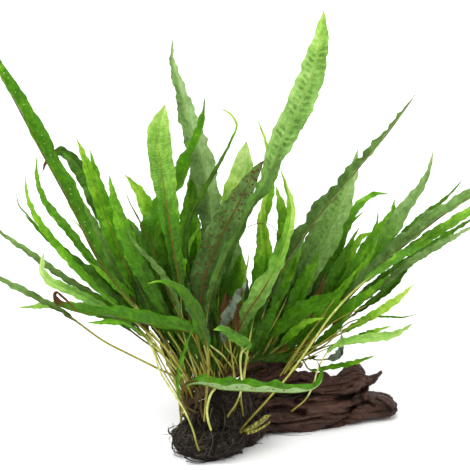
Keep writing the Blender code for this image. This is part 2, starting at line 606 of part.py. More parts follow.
class Plant:
    """The scene's objects, and all that has been placed so far as one mesh to grow around."""

    def __init__(self):
        for old in list(bpy.data.objects):
            bpy.data.objects.remove(old)
        self.crowd = bmesh.new()

    def group(self, name, origin):
        """An empty at a point in millimetres, which pieces are parented to."""
        empty = bpy.data.objects.new(name, None)
        bpy.context.scene.collection.objects.link(empty)
        empty.location = origin * MM
        return empty

    def place(self, name, kind, solid, parent, origin):
        """Adds a solid as an object whose own origin is at a point in millimetres."""
        mesh = bpy.data.meshes.new(name)
        solid.to_mesh(mesh)
        self.crowd.from_mesh(mesh)
        bmesh.ops.translate(solid, vec=-origin, verts=solid.verts)
        bmesh.ops.scale(solid, vec=(MM, MM, MM), verts=solid.verts)
        solid.to_mesh(mesh)
        solid.free()
        mesh.shade_smooth()
        mesh.set_sharp_from_angle(angle=SHARP_ANGLE)
        mesh.materials.append(self.material(name, kind))
        piece = bpy.data.objects.new(name, mesh)
        bpy.context.scene.collection.objects.link(piece)
        piece.parent = parent
        piece.location = origin * MM - parent.location

    def material(self, name, kind):
        material = bpy.data.materials.new(name)
        material.use_nodes = True
        shader = material.node_tree.nodes["Principled BSDF"]
        shader.inputs["Base Color"].default_value = (*COLOURS[kind], 1)
        shader.inputs["Roughness"].default_value = 0.8 if kind in ("driftwood", "roots") else 0.4
        return material


def build():
    plant = Plant()
    wood = plant.group("wood", seen_at(*WOOD_ORIGIN))
    for name, kind, rows, columns, count, rough, floor in (
        ("driftwood_log", "driftwood", LOG, LOG_COLUMNS, 20, 0.14, 0),
        ("driftwood_lower_lobe", "driftwood", LOWER_LOBE, LOBE_COLUMNS, 14, 0.14, 0),
        ("driftwood_upper_spur", "driftwood", UPPER_SPUR, SPUR_COLUMNS, 8, 0.05, 0),
        ("root_mat", "roots", ROOT_MAT, MAT_COLUMNS, 18, 0.14, MAT_SEAM),
    ):
        px, top, front, half = rows[0][:4]
        origin = seen_at(px, top, front + half)
        plant.place(name, kind, log_piece(rows, columns, count, rough, floor), wood, origin)
    stem, rhizome = knobbly_tube(RHIZOME_PATH, RHIZOME_RADIUS, 22, 8, 0.35)
    fern = plant.group("fern", rhizome.at(0.5))
    plant.place("rhizome", "rhizome", stem, fern, rhizome.at(0))
    shoot, path = knobbly_tube(YOUNG_TIP_PATH, YOUNG_TIP_RADIUS, 7, 6, 0.5)
    plant.place("young_rhizome_tip", "rhizome", shoot, fern, path.at(0))
    for frond in FRONDS:
        crowd = BVHTree.FromBMesh(plant.crowd)
        solid, foot = grown(frond, rhizome, crowd)
        plant.place(frond.name, frond.kind, solid, fern, foot)


build()
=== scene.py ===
import json
import math
import random
from functools import reduce

import bmesh
import bpy
import numpy as np
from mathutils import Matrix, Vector, noise
from mathutils.bvhtree import BVHTree

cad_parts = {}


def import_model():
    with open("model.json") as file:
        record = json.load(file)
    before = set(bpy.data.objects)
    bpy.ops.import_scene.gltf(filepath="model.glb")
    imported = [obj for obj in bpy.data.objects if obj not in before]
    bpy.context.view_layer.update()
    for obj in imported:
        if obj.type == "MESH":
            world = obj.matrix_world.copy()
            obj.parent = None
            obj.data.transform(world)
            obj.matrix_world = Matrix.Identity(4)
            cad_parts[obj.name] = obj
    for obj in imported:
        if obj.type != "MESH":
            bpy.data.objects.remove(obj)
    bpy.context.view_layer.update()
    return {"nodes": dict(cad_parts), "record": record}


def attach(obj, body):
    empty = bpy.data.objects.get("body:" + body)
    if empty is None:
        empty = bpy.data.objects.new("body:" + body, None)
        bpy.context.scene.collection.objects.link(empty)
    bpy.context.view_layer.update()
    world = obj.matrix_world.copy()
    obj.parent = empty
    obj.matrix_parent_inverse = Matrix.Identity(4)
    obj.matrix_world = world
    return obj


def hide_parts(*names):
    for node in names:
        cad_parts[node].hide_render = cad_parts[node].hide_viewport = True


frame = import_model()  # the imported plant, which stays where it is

mm = 0.001
slotOf = {part["node"]: part["material_slot"] for part in frame["record"]["subparts"]}

# How the photo looks at the plant
photo = {
    "pixels": 470,
    "pitch": math.radians(18),
    "distance": 1.2,
    "targetHeight": 0.1228,
    "pixelSize": 0.5556 * mm,  # one pixel at the point looked at
    "sensor": 36,
}
eyeBack = photo["distance"] * math.cos(photo["pitch"])
eyeUp = photo["targetHeight"] + photo["distance"] * math.sin(photo["pitch"])
eye = Vector((0, -eyeBack, eyeUp))


def seenAt(px, py, depth):
    # the point seen at a pixel of the photo, at a depth in metres along Y
    across = (px - photo["pixels"] / 2) * photo["pixelSize"]
    up = (photo["pixels"] / 2 - py) * photo["pixelSize"]
    sin, cos = math.sin(photo["pitch"]), math.cos(photo["pitch"])
    grow = (1 + depth / eyeBack) / (1 + up * sin / cos / photo["distance"])
    return Vector((across * grow, depth, photo["targetHeight"] + (up * grow - depth * sin) / cos))


def pixelsOf(points):
    # the other way round: the pixels at which points are seen
    tilt = photo["pitch"]
    off = points - np.array(eye)
    away = off @ np.array([0, math.cos(tilt), -math.sin(tilt)])
    rise = off @ np.array([0, math.sin(tilt), math.cos(tilt)])
    scale = photo["distance"] / away / photo["pixelSize"]
    return photo["pixels"] / 2 + off[:, 0] * scale, photo["pixels"] / 2 - rise * scale


# Helpers for objects and operators
def deselectAll():
    if bpy.context.object and bpy.context.object.mode != "OBJECT":
        bpy.ops.object.mode_set(mode="OBJECT")
    bpy.ops.object.select_all(action="DESELECT")


def selectOnly(*objects):
    deselectAll()
    for piece in objects:
        piece.select_set(True)
    bpy.context.view_layer.objects.active = objects[0]


def newObject(name, data):
    piece = bpy.data.objects.new(name, data)
    bpy.context.scene.collection.objects.link(piece)
    return piece


def applyModifier(piece, kind, **settings):
    selectOnly(piece)
    modifier = piece.modifiers.new(kind.title(), kind)
    for name, value in settings.items():
        setattr(modifier, name, value)
    bpy.ops.object.modifier_apply(modifier=modifier.name)


def joined(pieces, name):
    selectOnly(*pieces)
    if len(pieces) > 1:
        bpy.ops.object.join()
    piece = bpy.context.object
    piece.name = piece.data.name = name
    return piece


# Helpers for the numbers of a mesh, a row for each vertex
def readRows(items, name, width=3, kind=np.float32):
    rows = np.empty(len(items) * width, kind)
    items.foreach_get(name, rows)
    return rows.reshape(-1, width)


def readPoints(mesh):
    return readRows(mesh.vertices, "co").astype(float)


def readValues(mesh, name):
    return readRows(mesh.attributes[name].data, "value", 1)[:, 0]


def writePoints(mesh, points):
    mesh.vertices.foreach_set("co", points.astype(np.float32).ravel())
    mesh.update()


def writeValues(mesh, name, values):
    attribute = mesh.attributes.get(name) or mesh.attributes.new(name, "FLOAT", "POINT")
    attribute.data.foreach_set("value", np.asarray(values, np.float32))


def rowLengths(rows):
    return np.sqrt((rows * rows).sum(axis=1))


def unitRows(rows):
    return rows / np.maximum(rowLengths(rows), 1e-9)[:, None]


def runOf(rows):
    # how far along the path each of its points lies
    return np.concatenate([[0], np.cumsum(rowLengths(np.diff(rows, axis=0)))])


def smoothRows(knots, rows, at):
    # a smooth curve through the rows, read at any places along it
    gaps = np.diff(knots)
    steps = np.diff(rows, axis=0) / gaps[:, None]
    slopes = np.empty_like(rows)
    slopes[0], slopes[-1] = steps[0], steps[-1]
    near, far = gaps[:-1, None], gaps[1:, None]
    slopes[1:-1] = (steps[:-1] * far + steps[1:] * near) / (near + far)
    i = np.clip(np.searchsorted(knots, at, side="right") - 1, 0, len(gaps) - 1)
    h = gaps[i][:, None]
    t = np.clip((at - knots[i]) / gaps[i], 0, 1)[:, None]
    return (rows[i] * (2 * t**3 - 3 * t**2 + 1) + slopes[i] * h * (t**3 - 2 * t**2 + t)
            + rows[i + 1] * (3 * t**2 - 2 * t**3) + slopes[i + 1] * h * (t**3 - t**2))


def smoothPath(spots, steps):
    spots = np.array(spots, float)
    knots = runOf(spots)
    return smoothRows(knots, spots, np.linspace(0, knots[-1], steps))


def seenPath(route, depth, steps):
    # a smooth path through pixels of the photo, at one depth in millimetres
    return smoothPath([seenAt(x, y, depth * mm) for x, y in route], steps)


def past(values, start, over):
    # 0 up to a place, growing to 1 over a length
    return np.clip((values - start) / over, 0, 1)


def before(values, start, over):
    # the other way: 0 past a place, and growing to 1 before it
    return np.clip((start - values) / over, 0, 1)


def ripple(rng, along, waves):
    # waves of several lengths, each from a place of its own
    total = np.zeros_like(along)
    for length, size in waves:
        phase = rng.uniform(0, 1)
        total += size * np.sin(2 * math.pi * (along / (length * rng.uniform(0.8, 1.25)) + phase))
    return total


# Shader helpers: a value is the output of a node, a number or a colour
def feed(socket, value):
    if isinstance(value, bpy.types.NodeSocket):
        socket.id_data.links.new(value, socket)
    else:
        socket.default_value = (*value, 1) if socket.type == "RGBA" else value


def addNode(tree, kind, *values, **settings):
    # the values go into the node's first inputs, in their order
    node = tree.nodes.new("ShaderNode" + kind)
    for name, value in settings.items():
        setattr(node, name, value)
    for socket, value in zip(node.inputs, values):
        feed(socket, value)
    return node


def treeOf(*values):
    return next(value.id_data for value in values if isinstance(value, bpy.types.NodeSocket))


def calc(operation, *values):
    return addNode(treeOf(*values), "Math", *values, operation=operation).outputs[0]


def plus(*values):
    return reduce(lambda total, value: calc("ADD", total, value), values)


def times(*values):
    return reduce(lambda total, value: calc("MULTIPLY", total, value), values)


def minus(first, second):
    return calc("SUBTRACT", first, second)


def mixColour(share, first, second, blend="MIX"):
    values = share, first, second
    return addNode(treeOf(*values), "MixRGB", *values, blend_type=blend).outputs[0]


def rampOf(value, stops):
    node = addNode(value.id_data, "ValToRGB", value)
    marks = node.color_ramp.elements
    for i, (place, colour) in enumerate(stops):
        mark = marks[i] if i < 2 else marks.new(place)
        mark.position, mark.color = place, (*colour, 1)
    return node.outputs[0]


def rangeOf(value, low, high, outLow=0, outHigh=1):
    return addNode(value.id_data, "MapRange", value, low, high, outLow, outHigh).outputs[0]


def noiseOf(place, scale, detail=3, rough=0.55):
    node = addNode(place.id_data, "TexNoise", place)
    for name, value in (("Scale", scale), ("Detail", detail), ("Roughness", rough)):
        node.inputs[name].default_value = value
    return node.outputs[0]


def valueOf(tree, name):
    return addNode(tree, "Attribute", attribute_name=name).outputs["Fac"]


def placeOf(tree):
    return addNode(tree, "TexCoord").outputs["Object"]


def drawnPlace(tree, scale, turn=0):
    # the place on the object, turned about Z and drawn out where its scale is small
    node = addNode(tree, "Mapping", placeOf(tree))
    node.inputs["Rotation"].default_value = (0, 0, turn)
    node.inputs["Scale"].default_value = scale
    return node.outputs[0]


def bumpOf(height, strength, distance):
    node = addNode(height.id_data, "Bump", strength, distance)
    feed(node.inputs["Height"], height)
    return node.outputs[0]


def newMaterial(name):
    material = bpy.data.materials.new(name)
    material.use_nodes = True
    return material, material.node_tree


def finishAs(material, **finish):
    # the material's colour, roughness and relief, how strongly it shines and in which tint
    shader = material.node_tree.nodes["Principled BSDF"]
    sockets = {"colour": "Base Color", "rough": "Roughness", "relief": "Normal",
               "shine": "Specular IOR Level", "tint": "Specular Tint"}
    for name, value in finish.items():
        feed(shader.inputs[sockets[name]], value)
    return material


# Veins of a leaf: side veins that slant towards the tip, sunk pockets where they leave
# the midrib, with a mask that darkens them with painted shade, and a fine net. The leaf's own map is in
# centimetres: x across, y along.
def veinsOf(leafMap, pitch, slant):
    tree = leafMap.id_data
    x, y, _ = addNode(tree, "SeparateXYZ", leafMap).outputs
    out = calc("ABSOLUTE", x)
    row = plus(minus(y, times(out, slant)), times(noiseOf(leafMap, 2.2, 2), 0.35))
    lane = addNode(tree, "CombineXYZ", x, times(row, 0.3)).outputs[0]
    wave = calc("ABSOLUTE", minus(calc("FRACT", calc("DIVIDE", row, pitch)), 0.5))
    side = rangeOf(wave, 0.43, 0.5)
    cells = addNode(tree, "TexVoronoi", leafMap, feature="DISTANCE_TO_EDGE")
    cells.inputs["Scale"].default_value = 5.5
    net = rangeOf(cells.outputs["Distance"], 0.11, 0)
    blotch = rangeOf(noiseOf(leafMap, 1.7, 2), 0.38, 0.6, 0.15, 1)
    swell = times(minus(0.5, wave), 1.2)
    return {
        "side": side,
        "net": net,
        "pocketShade": times(rangeOf(wave, 0.12, 0.42), rangeOf(out, 0.72, 0.3), rangeOf(out, 0.03, 0.16),
                         blotch),
        "streaks": noiseOf(lane, 5.5, 3, 0.6),
        "height": minus(minus(swell, times(net, 0.25)), times(side, 0.3)),
    }


leafColours = {  # the ramps go from the oldest and darkest leaf to the youngest
    "upper": [(0, (0.004, 0.012, 0.0004)), (0.15, (0.013, 0.044, 0.001)), (0.32, (0.03, 0.105, 0.0015)),
              (0.5, (0.052, 0.185, 0.002)), (0.65, (0.13, 0.32, 0.01)), (0.8, (0.24, 0.45, 0.03)),
              (1, (0.46, 0.64, 0.11))],
    "under": [(0, (0.01, 0.022, 0.003)), (0.25, (0.034, 0.07, 0.014)), (0.45, (0.08, 0.15, 0.036)),
              (0.65, (0.155, 0.275, 0.075)), (0.85, (0.27, 0.395, 0.16)), (1, (0.37, 0.48, 0.27))],
    "stalk": [(0, (0.014, 0.009, 0.003)), (0.25, (0.08, 0.045, 0.01)), (0.55, (0.22, 0.195, 0.028)),
              (0.8, (0.34, 0.35, 0.08)), (1, (0.64, 0.7, 0.26))],
    "rib": [(0, (0.045, 0.016, 0.006)), (0.3, (0.145, 0.05, 0.013)), (0.5, (0.12, 0.1, 0.012)),
            (0.7, (0.12, 0.25, 0.022)), (1, (0.36, 0.5, 0.13))],
    "withered": [(0.36, (0.055, 0.018, 0.006)), (0.44, (0.042, 0.036, 0.014)), (0.5, (0.045, 0.066, 0.036)),
                 (0.7, (0.075, 0.11, 0.068))],
    "witheredVein": (0.03, 0.016, 0.008),
    "witheredPale": (0.27, 0.35, 0.26),
    "dry": (0.075, 0.026, 0.008),
    "vein": (0.3, 0.46, 0.1),
    "shine": (0.55, 0.85, 0.35),
}
leafFinish = {
    "leafUpper": {"veilAndSheen": "veilAndSheen", "gloss": 0.34, "shine": 0.3, "bump": 0.55},
    "leafUnder": {"veilAndSheen": "underVeil", "gloss": 0.48, "shine": 0.15, "bump": 0.4},
}


# The veil share mixes in the paler underside ramp: the leaf's own paler colour, and on the upper side partly
# a painted grey sheen
def toneColour(tone, veilAndSheen):
    return mixColour(veilAndSheen, rampOf(tone, leafColours["upper"]), rampOf(tone, leafColours["under"]))


# The midrib takes the blade's own colour where it is green, and a red-brown where it isn't
def ribColour(blade, shade=0):
    rib = plus(valueOf(blade.id_data, "rib"), shade)
    return mixColour(rangeOf(rib, 0.36, 0.5, 0.95, 0.35), blade, rampOf(rib, leafColours["rib"]))


def leafMapOf(tree):
    return addNode(tree, "UVMap", uv_map="leafMap").outputs[0]


def leafMaterial(name, veilAndSheen, gloss, shine, bump):
    material, tree = newMaterial(name)
    leafMap, place = leafMapOf(tree), placeOf(tree)
    veins = veinsOf(leafMap, 0.34, 0.35)
    cloud, mottle, patch, fleck = (
        noiseOf(place, *size) for size in ((90, 4), (380, 3, 0.65), (260, 3), (700, 2)))
    pocket = valueOf(tree, "pocket")
    tone = plus(valueOf(tree, "tone"), rangeOf(cloud, 0.25, 0.75, -0.12, 0.12),
                rangeOf(mottle, 0.3, 0.7, -0.07, 0.07), rangeOf(veins["streaks"], 0.3, 0.7, -0.08, 0.08))
    # painted shade: the sunk pockets beside the midrib are darkened by lowering the tone
    colour = toneColour(minus(tone, times(veins["pocketShade"], pocket)), valueOf(tree, veilAndSheen))
    veined = times(plus(veins["side"], times(veins["net"], 0.2)), valueOf(tree, "veined"))
    colour = mixColour(veined, colour, mixColour(1, colour, leafColours["vein"], "SCREEN"))
    dry = plus(times(valueOf(tree, "dry"), 1.6), minus(patch, 0.62))
    colour = mixColour(rangeOf(dry, 0.35, 0.65), colour, leafColours["dry"])
    x = addNode(tree, "SeparateXYZ", leafMap).outputs[0]
    off = calc("DIVIDE", calc("ABSOLUTE", x), valueOf(tree, "ribSize"))
    colour = mixColour(rangeOf(off, 0.05, 0.025, 0, 0.7), colour, ribColour(colour))
    height = plus(times(veins["height"], plus(pocket, 0.3)), plus(mottle, veins["streaks"]))
    return finishAs(material, colour=colour, rough=rangeOf(fleck, 0.3, 0.7, gloss - 0.07, gloss + 0.12),
                    relief=bumpOf(height, bump, 0.4 * mm), shine=shine, tint=leafColours["shine"])


def stalkMaterial():
    material, tree = newMaterial("stalkAndRib")
    grain = noiseOf(drawnPlace(tree, (1, 1, 0.25)), 600)
    shade = rangeOf(grain, 0.3, 0.7, -0.12, 0.12)
    low = rampOf(plus(valueOf(tree, "foot"), shade), leafColours["stalk"])
    blade = toneColour(plus(valueOf(tree, "tone"), shade), valueOf(tree, "veilAndSheen"))
    return finishAs(material, colour=mixColour(valueOf(tree, "onBlade"), low, ribColour(blade, shade)),
                    rough=rangeOf(grain, 0.3, 0.7, 0.38, 0.55), relief=bumpOf(grain, 0.4, 0.2 * mm),
                    shine=0.2, tint=leafColours["shine"])


# Grey and brown where it has died, and paler where its tone is high
def witheredMaterial():
    material, tree = newMaterial("witheredLeaf")
    veins = veinsOf(leafMapOf(tree), 0.5, 0.75)
    cloud = noiseOf(placeOf(tree), 110, 5)
    colour = rampOf(cloud, leafColours["withered"])
    colour = mixColour(times(veins["side"], 0.6), colour, leafColours["witheredVein"])
    pale = times(valueOf(tree, "tone"), rangeOf(cloud, 0.36, 0.5))
    return finishAs(material, colour=mixColour(pale, colour, leafColours["witheredPale"]), rough=0.65,
                    relief=bumpOf(plus(veins["height"], cloud), 0.7, 0.5 * mm),
                    shine=0.12, tint=(0.6, 0.85, 0.5))


def spotMaterial(name, low, high):
    material, tree = newMaterial(name)
    grain = noiseOf(placeOf(tree), 1500, 2)
    return finishAs(material, colour=rampOf(grain, [(0.3, low), (0.7, high)]), rough=0.6,
                    relief=bumpOf(grain, 0.6, 0.15 * mm), shine=0.2)


leafMaterials = [leafMaterial(name, **finish) for name, finish in leafFinish.items()] + [
    stalkMaterial(),
    spotMaterial("sporeSpots", (0.035, 0.011, 0.005), (0.14, 0.036, 0.014)),
    spotMaterial("paleDots", (0.2, 0.3, 0.06), (0.42, 0.5, 0.14)),
]
stalkAndRib = leafMaterials[2]
witheredLeaf = witheredMaterial()
print("leaf materials made")


# One flat frond modelled at a size of 2 by 2, which is later bent along each CAD frond:
# x runs across the blade, y along it and z through it, and the stalk is a round bar.
def makeFlatFrond(name, steps, across, sides, cuts):
    deselectAll()
    bpy.ops.mesh.primitive_grid_add(x_subdivisions=across, y_subdivisions=steps, size=2)
    blade = bpy.context.object
    applyModifier(blade, "SOLIDIFY", thickness=2, offset=0)
    for face in blade.data.polygons:
        face.material_index = 1 if face.normal.z < -0.5 else 0
    deselectAll()
    bpy.ops.mesh.primitive_cylinder_add(vertices=sides, radius=1, depth=2, end_fill_type="TRIFAN",
                                        rotation=(math.radians(-90), 0, 0))
    bpy.ops.object.transform_apply(location=False, rotation=True, scale=False)
    stalk = bpy.context.object
    for face in stalk.data.polygons:
        face.material_index = 2
    # its long edges are cut into short ones
    points = readPoints(stalk.data)
    bpy.ops.object.mode_set(mode="EDIT")
    bpy.ops.mesh.select_mode(type="EDGE")
    bpy.ops.mesh.select_all(action="DESELECT")
    bpy.ops.object.mode_set(mode="OBJECT")
    for edge in stalk.data.edges:
        a, b = edge.vertices
        edge.select = bool(abs(points[a][1] - points[b][1]) > 1)
    bpy.ops.object.mode_set(mode="EDIT")
    bpy.ops.mesh.subdivide(number_cuts=cuts)
    bpy.ops.object.mode_set(mode="OBJECT")
    writeValues(stalk.data, "isStalk", np.ones(len(stalk.data.vertices)))
    for half in (blade, stalk):
        for material in leafMaterials:
            half.data.materials.append(material)
    flat = joined([blade, stalk], name)
    bpy.ops.object.shade_smooth_by_angle(angle=math.radians(40))
    layers = flat.data.uv_layers
    layers.new(name="leafMap")
    for layer in [layer.name for layer in layers if layer.name != "leafMap"]:
        layers.remove(layers[layer])
    layers["leafMap"].active_render = True
    flat.hide_render = True
    return flat


flatFrond = makeFlatFrond("flatFrond", steps=130, across=12, sides=7, cuts=90)
flatLeaf = makeFlatFrond("flatLeaf", steps=52, across=6, sides=6, cuts=38)
print("flat fronds modelled:", len(flatFrond.data.polygons), len(flatLeaf.data.polygons), "faces")


# The rings of a CAD frond, read back from its solid
def ringsOf(node):
    shape = bmesh.new()
    shape.from_mesh(node.data)
    bmesh.ops.remove_doubles(shape, verts=shape.verts, dist=0.01 * mm)

    def around(vert):
        return [edge.other_vert(vert) for edge in vert.link_edges]

    # from either end of the frond, each next layer of vertices is a ring of four
    found = []
    for pole in shape.verts:
        if len(pole.link_edges) != 4:
            continue
        layers, seen = [[pole]], {pole}
        while layers[-1]:
            layer = []
            for vert in layers[-1]:
                for other in around(vert):
                    if other not in seen:
                        seen.add(other)
                        layer.append(other)
            layers.append(layer)
        layers.pop()
        if all(len(layer) == 4 for layer in layers[1:-1]) and len(layers[-1]) == 1:
            found.append(layers)
    layers = min(found, key=lambda layers: layers[0][0].co.z)  # from the foot to the tip

    def onwards(vert, ring):
        return [other for other in around(vert) if other in ring]

    # each ring in the order of left and right margin, and both middles
    first, second = layers[1], layers[2]
    margins = [vert for vert in first if len(onwards(vert, second)) == 3]
    rings = [margins + [vert for vert in first if vert not in margins]]
    for ring in layers[2:-1]:
        left, _, top, bottom = rings[-1]
        top, bottom = onwards(top, ring)[0], onwards(bottom, ring)[0]
        sides = [vert for vert in ring if vert not in (top, bottom)]
        if left not in around(sides[0]):
            sides.reverse()
        rings.append(sides + [top, bottom])
    table = np.array([[vert.co for vert in ring] for ring in rings], float)
    foot, tip = np.array(layers[0][0].co), np.array(layers[-1][0].co)
    shape.free()
    return table, foot, tip


# A course is what a frond follows: its midrib, the way to both margins and its upper side.
# The blade starts at the collar, a share of the length or the number of a point.
class Course:
    def __init__(self, spine, left, right, up, collar):
        self.knots = runOf(spine)
        self.length = self.knots[-1]
        self.rows = np.hstack([spine, left, right, up])
        self.collar = collar if collar < 1 else self.knots[int(collar)] / self.length

    def read(self, share):
        rows = smoothRows(self.knots, self.rows, np.clip(share, 0, 1) * self.length)
        return rows[:, :3], rows[:, 3:6], rows[:, 6:9], unitRows(rows[:, 9:])


def courseOf(node):
    rings, foot, tip = ringsOf(node)
    left, right, top, bottom = (rings[:, k] for k in range(4))
    wide = rowLengths(right - left)
    widest = int(wide.argmax())
    middle = (left[widest] + right[widest]) / 2
    if np.linalg.norm(top[widest] - middle) > np.linalg.norm(bottom[widest] - middle):
        top, bottom = bottom, top
    spine = bottom + (top - bottom) * 0.66
    along = spine[min(widest + 1, len(spine) - 1)] - spine[widest - 1]
    if np.cross(right[widest] - left[widest], along) @ (top[widest] - bottom[widest]) < 0:
        left, right = right, left
    up = unitRows(top - bottom)
    collar = next(i for i in range(len(wide)) if wide[i] > wide[0] * 1.03)
    none = np.zeros(3)
    return Course(
        np.vstack([foot, spine, tip]),
        np.vstack([left[0] - spine[0], left - spine, none]),
        np.vstack([right[0] - spine[0], right - spine, none]),
        np.vstack([up[0], up, up[-1]]), collar)


# How each frond looks. tone goes from old (0) to young (1) along the blade; the veil value greys the
# upper side, partly with the leaf's own paler colour and partly as a painted grey sheen, and underVeil greys
# the underside; rib goes from red-brown (0.3) to green (0.7). A tuple holds numbers spread evenly from the
# collar to the tip, and a list holds places and numbers. sides (painted light and shade) and trim hold one of
# these for each half.
plainLook = {
    "quilt": 0.14,  # height of the rows of quilting, in millimetres
    "pocket": 0.05,  # how much painted shade darkens the sunk pockets beside the midrib, and how deep their relief is
    "veined": 0.07,  # how pale the side veins are
    "veilAndSheen": 0,
    "underVeil": 1,
    "wave": 1,  # how wavy the margins are
    "proud": 0,  # how far the midrib stands out below, in millimetres
    "ribSize": 1,
    "dry": [(0, 0), (0.95, 0), (1, 0.45)],  # how brown
    "spotRows": (0.2, 0.48, 0.76),  # shares of the way to the margin
    "sides": (0, 0),  # painted light and shade: how much lighter the left and right halves, as the camera sees them, are
    "trim": (1, 1),  # and how wide, as a share of the solid's half
    "collar": 0.3,  # where the blade of a leaf without a solid starts
    "peak": 0.5,  # and where it is widest
}
kindLooks = {
    "lime_frond": {"tone": (0.4, 0.64, 0.92), "rib": 0.75},
    "green_frond": {"tone": (0.2, 0.46, 0.62), "rib": 0.62},
    "dark_frond": {"tone": (0.08, 0.3, 0.44), "rib": 0.5},
    "grey_frond": {"tone": (0.3, 0.56, 0.72), "rib": 0.55, "veilAndSheen": 0.9},
    "spore_frond": {"tone": [(0, 0.08), (0.4, 0.24), (0.75, 0.4), (1, 0.46)], "rib": 0.3},
    "withered_frond": {"tone": (0, 0.1), "rib": 0, "wave": 1.8, "withered": True},
}
